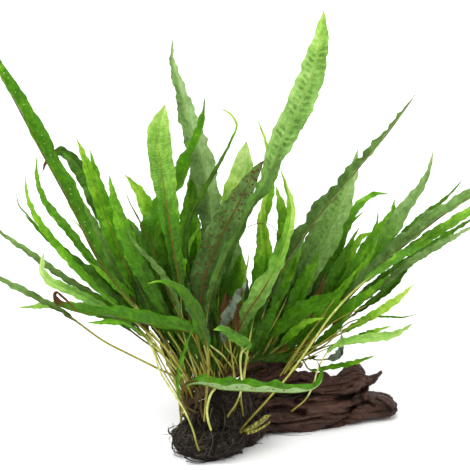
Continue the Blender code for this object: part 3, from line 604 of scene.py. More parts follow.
frondLooks = {
    "tall_right_frond": {
        "tone": [(0, 0.2), (0.3, 0.26), (0.46, 0.36), (0.54, 0.52), (0.62, 0.66), (0.85, 0.71),
                 (0.95, 0.78), (1, 0.96)],
        "veilAndSheen": [(0, 0.6), (0.46, 0.55), (0.6, 0.75), (0.85, 0.65), (1, 0.2)],
        "pocket": [(0.5, 0), (0.62, 0.3), (0.85, 0.32), (1, 0)], "sides": (0.06, -0.1),
        "trim": ([(0, 0.8), (0.4, 0.7), (0.5, 0.9), (0.56, 1)],
                 [(0, 0.9), (0.4, 0.75), (0.5, 0.95), (0.56, 1)]),
        "quilt": 0.3, "rib": 0.46, "veined": [(0.45, 0), (0.6, 0.2), (1, 0.25)]},
    "spore_frond": {
        "spores": (0.1, 0.94, 5), "dry": [(0, 0), (0.93, 0.05), (1, 0.9)], "wave": 0.8, "proud": 0.25,
        "rib": 0.2, "ribSize": 1.15, "spotRows": (0.24, 0.52, 0.8)},
    "long_right_frond": {
        "tone": [(0, 0.28), (0.6, 0.48), (1, 0.62)], "rib": 0.3, "proud": 0.3, "ribSize": 1.5},
    "front_curl_frond": {
        "tone": (0.38, 0.4), "underTone": 0.84, "spores": (0.16, 0.66, 5.2), "spotRows": (0.5,), "wave": 0.3,
        "rib": 0.5, "foot": -0.25, "dry": [(0, 0), (0.93, 0), (1, 0.8)]},
    "far_left_frond": {
        "tone": [(0, 0.2), (0.3, 0.38), (0.6, 0.42), (0.85, 0.5), (1, 0.74)], "spotRows": (0.4,),
        "dots": (0.25, 0.97, 5.5), "wave": 0.5, "rib": 0.3, "proud": 0.3, "veined": 0, "ribSize": 1.4,
        "trim": (1, [(0, 0.7), (0.5, 0.72), (0.7, 0.88), (0.85, 1.1), (0.93, 1.5), (1, 1.8)])},
    "front_left_frond": {
        "rib": 0.36, "tone": [(0, 0.28), (0.2, 0.42), (0.5, 0.42), (0.8, 0.36), (1, 0.25)],
        "dry": [(0, 0), (0.72, 0.1), (0.8, 0.7), (1, 1)], "wave": 0.5, "proud": 0.2},
    "big_diagonal_frond": {
        "tone": [(0, 0.3), (0.4, 0.54), (1, 0.64)], "wave": 1.3, "rib": 0.3, "veilAndSheen": 0.85, "proud": 0.3,
        "ribSize": 1.6, "sides": (-0.06, 0.06)},
    "tall_centre_frond": {
        "tone": [(0, 0.5), (0.35, 0.68), (0.6, 0.7), (0.85, 0.72), (1, 0.84)], "wave": 1.5, "rib": 0.6,
        "pocket": 0.08, "dry": [(0, 0), (0.93, 0), (1, 0.6)], "sides": (-0.26, 0.06)},
    "broad_lime_frond": {
        "tone": [(0, 0.15), (0.35, 0.38), (0.5, 0.48), (0.65, 0.64), (0.8, 0.68), (1, 0.88)], "quilt": 0.24,
        "rib": [(0, 0.34), (0.55, 0.36), (0.75, 0.48), (1, 0.66)], "pocket": 0.08, "wave": 0.6,
        "veined": [(0.45, 0), (0.65, 0.55), (1, 0.6)], "ribSize": 1.7,
        "veilAndSheen": [(0, 0), (0.5, 0.05), (0.65, 0.3), (1, 0.35)]},
    "centre_lime_frond": {
        "tone": [(0, 0.3), (0.5, 0.58), (0.72, 0.78), (0.88, 0.9), (1, 1)], "rib": 0.7, "wave": 0.5,
        "veilAndSheen": [(0, 0), (0.6, 0.1), (0.85, 0.5), (1, 0.5)], "veined": 0.3},
    "diagonal_dark_frond": {"tone": (0.12, 0.42, 0.5), "rib": 0.45, "wave": 1.2},
    "broad_back_frond": {
        "tone": [(0, 0.24), (0.3, 0.46), (0.5, 0.54), (0.7, 0.64), (1, 0.8)], "rib": 0.6, "pocket": 0.12,
        "underVeil": 0.8, "quilt": 0.25, "sides": (-0.06, 0.06)},
    "bright_right_frond": {
        "tone": [(0, 0.35), (0.5, 0.56), (0.8, 0.72), (1, 0.85)], "rib": 0.6, "foot": 0.1, "underVeil": 0.6,
        "veilAndSheen": 0.1},
    "dark_right_frond": {"tone": [(0, 0.3), (0.6, 0.44), (1, 0.55)], "rib": 0.6},
    "small_dark_right_frond": {"tone": (0.2, 0.42), "rib": 0.6},
    "right_blade_frond": {"tone": (0.3, 0.54, 0.78), "veilAndSheen": [(0, 0), (0.45, 0.1), (0.65, 1), (1, 1)]},
    "low_right_frond": {"tone": (0.58, 0.7, 0.74), "rib": 0.7, "veilAndSheen": 0.5, "foot": 0.2},
    "lowest_right_frond": {"tone": (0.5, 0.66), "rib": 0.7},
    "low_lime_right_frond": {"tone": [(0, 0.5), (0.6, 0.84), (1, 1)], "rib": 0.8},
    "low_bright_frond": {"tone": [(0, 0.56), (0.4, 0.4), (1, 0.4)]},
    "low_mid_frond": {"tone": (0.4, 0.56)},
    "lime_left_frond": {
        "tone": [(0, 0.2), (0.35, 0.34), (0.5, 0.44), (0.7, 0.6), (0.85, 0.7), (1, 0.9)], "rib": 0.36,
        "sides": (0.07, -0.07)},
    "dark_centre_frond": {"tone": (0.15, 0.38, 0.58), "sides": (-0.12, 0.12), "rib": 0.6},
    "left_mid_frond": {"tone": (0.12, 0.4, 0.64)},
    "left_slim_frond": {"tone": (0.12, 0.4, 0.64)},
    "left_under_frond": {"tone": (0.3, 0.54, 0.64), "rib": 0.6, "underVeil": 0.5},
    "arched_lime_frond": {"tone": [(0, 0.12), (0.3, 0.3), (0.5, 0.46), (0.8, 0.68), (1, 0.82)], "rib": 0.6},
    "lime_low_left_frond": {
        "tone": [(0, 0.35), (0.55, 0.58), (0.72, 0.82), (0.86, 0.95), (1, 1)], "rib": 0.62, "veilAndSheen": 0.5},
    "slim_lime_left_frond": {"tone": [(0, 0.3), (0.6, 0.54), (0.9, 0.68), (1, 0.9)], "rib": 0.62},
    "wavy_left_frond": {"tone": [(0, 0.3), (0.6, 0.5), (1, 0.62)]},
    "thin_hook_frond": {
        "tone": [(0, 0.2), (0.7, 0.26), (0.82, 0.36), (0.88, 0.8), (1, 0.98)], "rib": 0.5, "wave": 0.6,
        "trim": [[(0, 1), (0.6, 0.75), (0.84, 0.55), (0.9, 0.8), (0.94, 1.8), (1, 3)]] * 2},
    "bent_front_frond": {"tone": [(0, 0.22), (0.5, 0.27), (0.75, 0.42), (1, 0.78)], "rib": 0.45},
    "drooping_front_frond": {
        "tone": [(0, 0.46), (0.7, 0.5), (1, 0.74)], "rib": 0.66, "stalk": 0.9, "veilAndSheen": 0.3, "foot": 0.22},
    "short_low_left_frond": {"foot": 0.2, "trim": [[(0, 0.3), (0.5, 0.4), (0.68, 1)]] * 2},
    "low_left_blade": {"tone": (0.4, 0.74), "rib": 0.66, "veilAndSheen": 0.4, "foot": 0.2},
    "centre_right_frond": {
        "tone": [(0, 0.4), (0.25, 0.56), (0.42, 0.66), (0.52, 0.62), (0.62, 0.62), (0.76, 0.8), (1, 0.92)],
        "rib": [(0, 0.3), (0.42, 0.3), (0.5, 0.62), (1, 0.66)], "ribSize": 1.4,
        "underVeil": [(0, 0.7), (0.45, 0.5), (0.65, 0.2), (1, 0.1)],
        "sides": ([(0, 0.12), (0.42, 0.1), (0.6, -0.1)], [(0, -0.1), (0.42, -0.06), (0.6, 0.03)]),
        "trim": (1, [(0.6, 1), (0.78, 1.5), (1, 1.3)])},
    "centre_inner_frond": {"tone": [(0, 0.1), (0.35, 0.32), (0.55, 0.66), (1, 0.9)], "rib": 0.66},
    "centre_mid_frond": {"tone": [(0, 0.05), (0.4, 0.28), (0.6, 0.58), (1, 0.8)]},
    "curled_left_frond": {
        "tone": [(0, 0.14), (0.6, 0.26), (1, 0.22)], "dry": [(0, 0), (0.84, 0.1), (0.9, 1), (1, 1)]},
    "back_left_frond": {"tone": (0.1, 0.34), "underVeil": 0.1, "rib": 0.5},
    "withered_right_frond": {"tone": (0.8, 1.2), "wave": 1.6},
    "grey_left_frond": {"tone": (0.2, 0.46, 0.62), "trim": (0.78, 0.78)},
    "long_stalked_left_frond": {"tone": (0.2, 0.48, 0.6), "veilAndSheen": 0.6, "trim": (0.8, 0.8)},
    "decayed_frond": {"tone": (0.2, 0.6), "wave": 1.6},
}


def lookOf(node):
    return {**plainLook, **kindLooks[slotOf[node]], **frondLooks.get(node, {})}


leafBuild = {
    "longFrond": 0.11,  # a frond longer than this is bent from the finer flat frond
    "thickness": 0.16 * mm,  # half of the blade's, at the midrib
    "thinning": 0.6,  # how much thinner a margin is
    "arch": 0.22,  # how far each half of a blade bulges up
    "marginWaves": [(27 * mm, 0.85 * mm), (11 * mm, 0.36 * mm), (5.5 * mm, 0.12 * mm)],
    "fullWaves": 5 * mm,  # half a blade this wide has margin waves of their full height
    "outlineWaves": [(22 * mm, 0.045), (7 * mm, 0.03)],
    "nibbles": [(9 * mm, 0.28 * mm), (4.2 * mm, 0.15 * mm)],  # these don't shrink with the blade
    "slim": (0.15, 1.2),  # least and most height of the waves on narrow and wide blades
    "shoulder": 0.03,  # a blade opens over this share of its length
    "quiltPitch": 6.2 * mm,
    "quiltSlant": 0.75,
    "stalkEnd": 0.985,  # the midrib stops just short of the tip
    "stalkRadius": 0.57 * mm,
    "stalkSpread": (0.8, 1.12),
    "joint": 0.18,  # the stalk thins to the midrib over this share of the frond
    "ribRadius": 0.3 * mm,
    "fullRib": 4.5 * mm,  # half a blade this wide has a midrib of its full radius
    "ribTaper": 0.72,
    "ribSunk": 0.08,  # towards the underside, in millimetres
    "footFlare": 0.35,
    "footLength": 0.03,
    "footColours": [(0, 0.22), (0.15, 0.44), (0.45, 0.72), (1, 0.66)],
    "footSpread": (-0.36, 0.16),
    "toneSpread": 0.04,
}


def keyed(keys, at):
    # one number, numbers spread evenly from the collar to the tip, or a list of places and numbers
    if isinstance(keys, tuple):
        return np.interp(at, np.linspace(0, 1, len(keys)), keys)
    if isinstance(keys, list):
        return np.interp(at, *zip(*keys))
    return np.full(len(at), float(keys))


def bend(flat, course, look, pieceName, seed):
    rng = random.Random(seed)
    mesh = flat.data.copy()
    flatPoints = readPoints(mesh)
    stalk = readValues(mesh, "isStalk") > 0.5
    y = (flatPoints[:, 1] + 1) / 2
    share = np.where(stalk, y * leafBuild["stalkEnd"], course.collar + (1 - course.collar) * y)
    spine, left, right, up = course.read(share)
    along = share * course.length
    reach = np.abs(flatPoints[:, 0])
    onRight = flatPoints[:, 0] > 0
    onBlade = np.clip((share - course.collar) / (1 - course.collar), 0, 1)

    # the left and right halves, as the camera sees them, can be narrower, and lighter or darker with painted
    # light and shade
    photoRight = onRight != (left[:, 0].mean() > 0)

    def bySide(name):
        return np.where(photoRight, keyed(look[name][1], onBlade), keyed(look[name][0], onBlade))

    trim = bySide("trim")
    side = np.where(onRight[:, None], right, left)
    half = rowLengths(side) * trim
    slim = np.clip(half / leafBuild["fullWaves"], *leafBuild["slim"])

    # the blade
    edges = [ripple(rng, along, leafBuild["marginWaves"]) for _ in range(2)]
    # nibbles are lengths, which room makes shares of the half width, and less where it is thin
    room = np.clip(half, 1 * mm, 1) / np.clip(half / (1 * mm), 0, 1).clip(0.3)
    outs = [ripple(rng, along, leafBuild["outlineWaves"]) + ripple(rng, along, leafBuild["nibbles"]) / room
            for _ in range(2)]
    edge = np.where(onRight, edges[1], edges[0]) * look["wave"] * slim
    outline = 1 + np.where(onRight, outs[1], outs[0]) * look["wave"]
    start = np.clip(y / leafBuild["shoulder"], 0, 1) ** 0.5
    bank = side * (reach * start * outline * trim)[:, None]
    slant = along - reach * half * leafBuild["quiltSlant"]
    quilt = look["quilt"] * mm * slim * np.sin(2 * math.pi * slant / leafBuild["quiltPitch"])
    quilt *= np.sqrt(reach) * (1 - reach**4)
    lift = leafBuild["arch"] * half * (reach - reach**2) * start
    lift += edge * reach**1.7 * start + quilt
    lift += flatPoints[:, 2] * leafBuild["thickness"] * (1 - leafBuild["thinning"] * reach**2)
    blade = spine + bank + up * lift[:, None]

    # the stalk, which thins to the midrib
    joint = past(share, course.collar, leafBuild["joint"])
    ribSize = keyed(look["ribSize"], onBlade)
    ribRadius = leafBuild["ribRadius"] * ribSize * min(1, half.max() / leafBuild["fullRib"])
    radius = leafBuild["stalkRadius"] + (ribRadius - leafBuild["stalkRadius"]) * joint
    radius *= 1 - leafBuild["ribTaper"] * onBlade**2
    radius *= 1 + leafBuild["footFlare"] * np.clip(1 - share / leafBuild["footLength"], 0, 1)
    radius *= look.get("stalk", rng.uniform(*leafBuild["stalkSpread"])) * (1 - joint) + joint
    sideways = unitRows(right - left)
    bar = spine + sideways * (flatPoints[:, 0] * radius)[:, None]
    sunk = (leafBuild["ribSunk"] + look["proud"]) * mm * joint
    bar += up * (flatPoints[:, 2] * radius * 0.9 - sunk)[:, None]
    writePoints(mesh, np.where(stalk[:, None], bar, blade))

    # colours and the leaf's own map
    spread = leafBuild["toneSpread"]
    tone = keyed(look["tone"], onBlade) + rng.uniform(-spread, spread)
    # painted light and shade: one half is made lighter and the other darker, by set amounts and a little at
    # random
    lean = rng.uniform(-spread, spread)
    tone += (bySide("sides") + np.where(photoRight, lean, -lean)) * np.clip(reach * 4, 0, 1)
    if "underTone" in look:
        tone = np.where(flatPoints[:, 2] < 0, look["underTone"], tone)
    writeValues(mesh, "tone", tone)
    for name in ("pocket", "veined", "veilAndSheen", "underVeil", "rib"):
        writeValues(mesh, name, keyed(look[name], onBlade))
    writeValues(mesh, "dry", keyed(look["dry"], onBlade) * (0.6 + 0.6 * reach))
    foot = keyed(leafBuild["footColours"], np.clip(share / course.collar, 0, 1))
    writeValues(mesh, "foot", foot + look.get("foot", rng.uniform(*leafBuild["footSpread"])))
    writeValues(mesh, "onBlade", np.clip(onBlade / 0.12, 0, 1))
    writeValues(mesh, "ribSize", ribSize * (1 - 0.7 * onBlade**2))
    corners = readRows(mesh.loops, "vertex_index", 1, np.int32)[:, 0]
    offset = rng.uniform(0, 50)
    leafMap = np.stack([flatPoints[:, 0] * half * 100, along * 100 + offset], axis=1)[corners]
    mesh.uv_layers["leafMap"].data.foreach_set("uv", leafMap.astype(np.float32).ravel())
    if "withered" in look:
        mesh.materials[0] = mesh.materials[1] = witheredLeaf
    return newObject(pieceName, mesh)


# Spore spots under a blade and pale dots on it: one small dome, copied in rows beside the midrib
domes = {
    "spores": {"side": -1, "radius": 0.64 * mm, "material": 3},
    "dots": {"side": 1, "radius": 0.4 * mm, "material": 4},
    "share": 0.72,  # of the places in the rows that have a dome
    "scatter": (0.4, 0.07),  # along the blade in gaps, and across it as a share of its half width
    "sizes": (0.7, 1.2),
    "flat": 0.45,
    "rim": 0.8,  # a dome keeps this share of its radius clear of the margin
    "reach": 5,  # the blade's surface is looked for from this many millimetres off
}


def makeDome():
    deselectAll()
    bpy.ops.mesh.primitive_uv_sphere_add(segments=7, ring_count=4, radius=1)
    dome = bpy.context.object
    dome.name = "dome"
    dome.hide_render = True
    return dome


dome = makeDome()
domePoints = readPoints(dome.data)
domeFaces = sorted(list(face.vertices) for face in dome.data.polygons)


def domesOn(leaf, course, look, kind, name, seed):
    ground = bmesh.new()
    ground.from_mesh(leaf.data)
    tree = BVHTree.FromBMesh(ground)
    ground.free()
    begin, end, gap = look[kind]  # shares of the blade, and millimetres
    made = domes[kind]
    onwards, outwards = domes["scatter"]
    rng = random.Random(seed)
    spots = []
    place = begin * course.length
    while place < end * course.length:
        for hand in (-1, 1):
            for out in look["spotRows"]:
                if rng.random() < domes["share"]:
                    spots.append((place + rng.uniform(-onwards, onwards) * gap * mm, hand,
                                  out + rng.uniform(-outwards, outwards),
                                  made["radius"] * rng.uniform(*domes["sizes"])))
        place += gap * mm
    share = course.collar + (1 - course.collar) * np.array([spot[0] for spot in spots]) / course.length
    spine, left, right, up = course.read(np.clip(share, 0, 0.99))
    points, faces = [], []
    for i, (_, hand, out, size) in enumerate(spots):
        bank = right[i] if hand > 0 else left[i]
        if np.linalg.norm(bank) * (1 - out) < size * domes["rim"]:
            continue
        above = Vector(up[i]) * made["side"]
        centre, _, _, _ = tree.ray_cast(Vector(spine[i] + bank * out) + above * domes["reach"] * mm, -above)
        if centre is None:
            continue
        across = bank / np.linalg.norm(bank)
        normal = up[i] - across * (up[i] @ across)
        normal /= np.linalg.norm(normal)
        turned = (domePoints[:, :1] * across + domePoints[:, 1:2] * np.cross(normal, across)
                  + domePoints[:, 2:] * normal * domes["flat"]) * size
        faces += [[len(points) + k for k in face] for face in domeFaces]
        points += list(np.array(centre) + turned)
    mesh = bpy.data.meshes.new(name)
    mesh.from_pydata([tuple(p) for p in points], [], faces)
    for material in leafMaterials:
        mesh.materials.append(material)
    for face in mesh.polygons:
        face.material_index = made["material"]
        face.use_smooth = True
    return newObject(name, mesh)


def makeFronds():
    count = 0
    for name in sorted(slotOf):
        if not slotOf[name].endswith("_frond"):
            continue
        course = courseOf(frame["nodes"][name])
        look = lookOf(name)
        seed = sum(map(ord, name))
        flat = flatFrond if course.length > leafBuild["longFrond"] else flatLeaf
        pieces = [bend(flat, course, look, name + "_leaf", seed)]
        for kind in ("spores", "dots"):
            if kind in look:
                pieces.append(domesOn(pieces[0], course, look, kind, name + "_" + kind, seed))
        piece = joined(pieces, name + "_leaf")
        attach(piece, "root")
        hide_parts(name)
        count += 1
    print("fronds grown:", count)


makeFronds()


# Narrow and hidden leaves past the solids. Each rises from a seat on the rhizome, whose path is
# in pixels of the photo and millimetres of depth.
rhizomePath = np.array([
    (184, 407, -22), (192, 400, -18), (202, 393.5, -13), (215, 385, -5), (230, 376.5, 4.5),
    (247, 367, 18), (262, 362.5, 29), (282, 362.5, 37), (301, 365, 41)], float)


def rhizomeAt(share):
    place = share * (len(rhizomePath) - 1)
    return [np.interp(place, range(len(rhizomePath)), rhizomePath[:, k]) for k in range(3)]


narrowBuild = {
    "above": 4,  # pixels from the rhizome's middle to the foot of a stalk
    "points": 24,
    "lean": 1.3,  # power of the way from the foot's depth to the tip's
    "lift": math.radians(12),  # both halves rise towards the viewer
    "swell": (0.8, 1.4),  # powers of the width before and after its peak
    "thinnest": 0.2 * mm,
}


def courseAlong(seat, route, tipDepth, wide, collar, peak):
    # seat is a share of the rhizome, or a pixel and depth; depths and widths in millimetres
    px, py, depth = rhizomeAt(seat) if isinstance(seat, float) else seat
    rows = np.array([(px, py - narrowBuild["above"], depth)] + [(*spot, 0) for spot in route], float)
    run = runOf(rows[:, :2])
    rows[:, 2] = depth + (tipDepth - depth) * (run / run[-1]) ** narrowBuild["lean"]
    points = np.array([seenAt(x, y, d * mm) for x, y, d in rows])
    knots = runOf(points)
    share = np.linspace(0, 1, narrowBuild["points"])
    spine = smoothRows(knots, points, share * knots[-1])
    along = unitRows(np.gradient(spine, axis=0))
    toEye = np.array(eye) - spine
    facing = unitRows(toEye - along * (toEye * along).sum(axis=1)[:, None])
    level = np.cross(along, facing)
    lift, (widening, narrowing) = narrowBuild["lift"], narrowBuild["swell"]
    s = np.clip((share - collar) / (1 - collar), 0, 1)
    swell = np.where(s < peak, np.sin(np.pi / 2 * np.minimum(s / peak, 1)) ** widening,
                     1 - (np.maximum(s - peak, 0) / (1 - peak)) ** narrowing)
    half = np.maximum(wide / 2 * mm * swell, narrowBuild["thinnest"])[:, None]
    left = (facing * math.sin(lift) - level * math.cos(lift)) * half
    right = (facing * math.sin(lift) + level * math.cos(lift)) * half
    left[-1] = right[-1] = 0
    return Course(spine, left, right, facing, collar)


blunt = {"collar": 0.02, "peak": 0.2}
dried = {"collar": 0.2, "dry": (0.3, 1)}
# kind, seat, route in pixels of the photo, depth of the tip, width, then what differs
narrowLeaves = [
    ("lime", 0.6, [(270, 330), (300, 270), (335, 210), (347, 180), (341, 166)], 66, 3, {}),
    ("dark", 0.75, [(310, 322), (334, 274), (344, 255), (352, 240), (360, 226)], 40, 6.5, {}),
    ("green", 0.78, [(318, 315), (345, 280), (358, 260), (370, 240), (377, 223), (378, 208)], 30, 5.5, {}),
    ("green", 0.8, [(316, 318), (336, 284), (347, 262), (354, 247), (363, 236), (377, 231.5)], 50, 8.5,
     {"tone": (0.2, 0.5, 0.66)}),
    ("green", 0.77, [(318, 310), (336, 268), (343, 240), (352, 222), (366, 210)], 62, 5, {}),
    ("lime", 0.83, [(318, 325), (340, 300), (357, 276), (370, 256), (379, 236)], 22, 6,
     {"tone": (0.4, 0.62)}),
    ("green", 0.95, [(325, 345), (350, 322), (380, 316.5), (405, 317), (422, 312.5)], 0, 1.4,
     {"collar": 0.5}),
    ("lime", 0.97, [(325, 347), (345, 341), (362, 335), (378, 330), (394, 325)], -10, 3, {"collar": 0.45}),
    ("green", 0.99, [(306, 359), (319, 355.5)], 34, 2, {}),
    ("dark", 0.04, [(165, 350), (110, 300), (60, 250), (28, 216), (18, 203), (17, 192), (21, 181)], 20, 1.3,
     {"collar": 0.6}),
    ("lime", 0.08, [(165, 345), (120, 285), (95, 248), (82, 229), (72, 220), (64, 218.5)], 5, 1.8,
     {"collar": 0.6}),
    ("dark", 0.2, [(180, 320), (164, 280), (152, 248), (143, 228), (136, 214), (129.5, 202), (124, 184)], -4,
     1.3, {"collar": 0.5, "stalk": 0.5, "dry": 0.35}),
    ("grey", 0.24, [(184, 335), (178, 305), (169, 284), (154, 264), (140, 249), (131, 238), (127, 224)], -26,
     3.6, {"collar": 0.35, "tone": (0.3, 0.52)}),
    ("lime", 0.47, [(240, 330), (243, 300), (245, 276), (248, 261), (250, 246)], -6, 1.4, {"collar": 0.5}),
    ("dark", 0.5, [(238, 350), (236, 330), (237, 312), (242, 298)], -18, 4.5, dried),
    ("dark", 0.44, [(229, 350), (226, 330), (224, 312), (226, 290)], -12, 6, dried),
    ("dark", 0.79, [(301, 335), (311, 311), (320, 290), (326, 272)], 14, 5, dried),
    ("lime", 0.27, [(190, 345), (178, 310), (180, 276), (187, 250), (194, 235), (201, 225)], -2, 6,
     {"tone": (0.3, 0.62)}),
    ("green", 0.42, [(222, 345), (212, 300), (204, 265), (199, 240), (199, 215)], 12, 6, {}),
    ("green", (183, 421, -37), [(179.5, 400), (178, 384), (179, 370), (184, 352), (190, 335), (197, 322)],
     -34, 2.4, {"collar": 0.1, "tone": (0.5, 0.3)}),
    ("dark", 0.57, [(258, 345), (264, 328), (272, 312), (281, 299)], -4, 8, {"collar": 0.15}),
    ("green", 0.63, [(265, 340), (274, 308), (285, 280), (297, 252), (306, 232)], 14, 8, {}),
    ("green", 0.68, [(275, 340), (286, 316), (300, 290), (313, 262), (322, 240)], 34, 9, {}),
    ("dark", 0.74, [(288, 340), (305, 314), (324, 285), (341, 258), (350, 240)], 46, 7, {}),
    ("green", 0.79, [(300, 340), (322, 312), (343, 288), (360, 266)], 24, 6, {}),
    ("green", 0.84, [(305, 345), (322, 328), (345, 310), (372, 290), (392, 272)], 4, 6, {"tone": (0.4, 0.6)}),
    ("dark", 0.15, [(180, 340), (165, 314), (148, 288), (137, 266), (128, 246)], 26, 8, {"collar": 0.12}),
    ("green", 0.1, [(176, 345), (150, 316), (125, 292), (102, 273), (84, 258)], 2, 7, {"collar": 0.2}),
    ("dark", 0.24, [(192, 345), (176, 326), (160, 312), (142, 300)], -14, 7, {"collar": 0.15}),
    ("dark", 0.31, [(200, 345), (185, 315), (170, 292), (160, 272)], 6, 9, {"collar": 0.12}),
    ("dark", 0.37, [(212, 345), (205, 315), (196, 290), (186, 262)], 22, 9, {"collar": 0.12}),
    ("green", 0.9, [(306, 352), (322, 340), (338, 326), (352, 312)], 16, 5, {"collar": 0.2}),
    ("lime", 0.7, [(275, 350), (290, 335), (306, 322), (325, 318)], -6, 5, {"collar": 0.25}),
    ("dark", 0.12, [(150, 340), (120, 312), (95, 296), (72, 290)], -26, 4, {"collar": 0.5}),
    ("green", 0.05, [(168, 360), (140, 338), (118, 322), (96, 314), (80, 312)], -30, 4, {"collar": 0.62}),
    ("dark", 0.41, [(220, 350), (219, 330), (219, 306), (221, 284)], 16, 12, {"collar": 0.05}),
    ("dark", 0.52, [(243, 350), (246, 335), (250, 320), (256, 300)], 12, 12, {"collar": 0.05}),
    ("dark", 0.46, [(231, 352), (231, 335), (230, 310), (232, 290)], 20, 13, {"collar": 0.05}),
    ("dark", 0.35, [(208, 352), (204, 335), (202, 318), (201, 300)], 10, 12, {"collar": 0.05}),
    ("dark", 0.28, [(195, 356), (188, 340), (180, 326), (172, 308)], 4, 10, {"collar": 0.42}),
    ("green", 0.38, [(214, 340), (207, 300), (203, 262), (206, 232), (203, 205)], 24, 10, {"veilAndSheen": 0.7}),
    ("green", 0.66, [(272, 325), (286, 285), (297, 254), (305, 226)], 50, 9, {"collar": 0.1}),
    ("dark", 0.6, [(260, 352), (267, 338), (275, 322), (284, 306)], 44, 12, {"collar": 0.03}),
    ("dark", 0.7, [(278, 353), (287, 341), (296, 328), (306, 314)], 50, 12, {"collar": 0.03}),
    ("dark", 0.5, [(238, 356), (243, 342), (250, 330), (256, 318)], 40, 12, {"collar": 0.03}),
    ("dark", (219, 388, 14), [(218, 372), (217, 358), (216, 342)], 26, 16, blunt),
    ("dark", (234, 384, 24), [(232, 368), (230, 352), (230, 338)], 34, 14, blunt),
    ("dark", (205, 394, 4), [(203, 378), (200, 362), (198, 346)], 14, 12, blunt),
    ("green", 0.78, [(294, 356), (303, 346), (313, 334), (324, 322)], 48, 7, {"collar": 0.03}),
    ("dark", (253, 386, 30), [(253, 376), (254, 368), (255, 356)], 34, 14, blunt),
    ("dark", (266, 380, 34), [(266, 372), (267, 362), (269, 348)], 38, 14, blunt),
    ("dark", (281, 380, 36), [(281, 372), (283, 362), (287, 346)], 40, 14, blunt),
]
# Shaded leaves deep in the clump: where their tips are, as pixels of the photo
innerLeaves = {
    # Their low tones paint the shade deep in the clump, on top of the leaves' own dark green
    "filling": {"seed": 23, "rise": 0, "count": 46, "wide": (4.5, 8.5), "behind": (8, 46),
                "collar": (0.4, 0.56), "tone": (0, 0.25)},
    "short": {"seed": 29, "rise": 0.6, "count": 26, "wide": (3.5, 7), "behind": (2, 30),
              "collar": (0.12, 0.32), "tone": (0, 0.16)},
    "tops": [(108, 290), (125, 262), (150, 262), (165, 250), (190, 244), (215, 250), (228, 282), (256, 292),
             (266, 268), (285, 262), (320, 262), (340, 268), (355, 285), (375, 296)],
    "reach": (112, 256),  # from which pixel, and over how many
    "foot": 335,  # the height from which the short ones rise towards the tops
    "scatter": 9,  # from side to side, in pixels
    "below": (2, 16),  # how far a tip stays under the tops, in pixels
    "bow": 4,
    "stalk": (0.75, 1.05),
    "ribs": (0.1, 0.3, 0.45, 0.6),
    "dryShare": 0.12,
}


def growExtra(entries, name, seed):
    pieces = []
    for i, (kind, seat, route, depth, wide, more) in enumerate(entries):
        look = {**plainLook, **kindLooks[kind + "_frond"], **more}
        course = courseAlong(seat, route, depth, wide, look["collar"], look["peak"])
        pieces.append(bend(flatLeaf, course, look, name, seed + i))
    piece = joined(pieces, name)
    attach(piece, "root")


def innerEntries(rows):
    rng = random.Random(rows["seed"])
    begin, over = innerLeaves["reach"]
    entries = []
    for i in range(rows["count"]):
        share = (i + rng.uniform(0.1, 0.9)) / rows["count"]
        px, py, depth = rhizomeAt(share)
        x = begin + over * share + rng.uniform(-innerLeaves["scatter"], innerLeaves["scatter"])
        top = np.interp(x, *zip(*innerLeaves["tops"])) + rng.uniform(*innerLeaves["below"])
        x = px + (x - px) * (1 - rows["rise"])
        y = top + (innerLeaves["foot"] - top) * rows["rise"]
        bow = rng.uniform(-innerLeaves["bow"], innerLeaves["bow"])
        route = [(px + (x - px) * t + bow * math.sin(math.pi * t), py + (y - py) * t) for t in (0.35, 0.7, 1)]
        tone = rng.uniform(*rows["tone"])
        more = {"collar": rng.uniform(*rows["collar"]), "tone": (tone * 0.4, tone),
                "stalk": rng.uniform(*innerLeaves["stalk"]), "rib": rng.choice(innerLeaves["ribs"])}
        if rng.random() < innerLeaves["dryShare"]:
            more["dry"] = (0.5, 1)
        tipDepth = depth + rng.uniform(*rows["behind"])
        entries.append(("dark", share, route, tipDepth, rng.uniform(*rows["wide"]), more))
    return entries


growExtra(narrowLeaves, "narrow_leaves", seed=300)
growExtra(innerEntries(innerLeaves["filling"]), "inner_leaves", seed=500)
growExtra(innerEntries(innerLeaves["short"]), "short_inner_leaves", seed=600)


# Thin round things, each a row of points and a thickness, made tubes by a curve's bevel
def strandsToMesh(name, strands, radius, sides, taper=0.6):
    data = bpy.data.curves.new(name, "CURVE")
    data.dimensions = "3D"
    data.bevel_depth = radius
    data.bevel_resolution = sides
    data.use_fill_caps = True
    for points, thick in strands:
        spline = data.splines.new("POLY")
        spline.points.add(len(points) - 1)
        for i, (target, spot) in enumerate(zip(spline.points, points)):
            target.co = (*spot, 1)
            target.radius = thick * (1 - taper * i / (len(points) - 1))
    selectOnly(newObject(name, data))
    bpy.ops.object.convert(target="MESH")
    bpy.ops.object.shade_smooth()
    piece = bpy.context.object
    piece.data.materials.clear()
    return piece


def strandValues(piece, strands, values):
    # the rings that close the ends come first in the mesh, from the last strand to the first
    counts = np.array([len(points) for points, _ in strands])
    total = len(piece.data.vertices)
    ring = round(total / (counts.sum() + 2 * len(strands)))
    ends = np.resize(np.repeat(values[::-1], 2 * ring), total - ring * counts.sum())
    return np.concatenate([ends, np.repeat(values, counts * ring)])


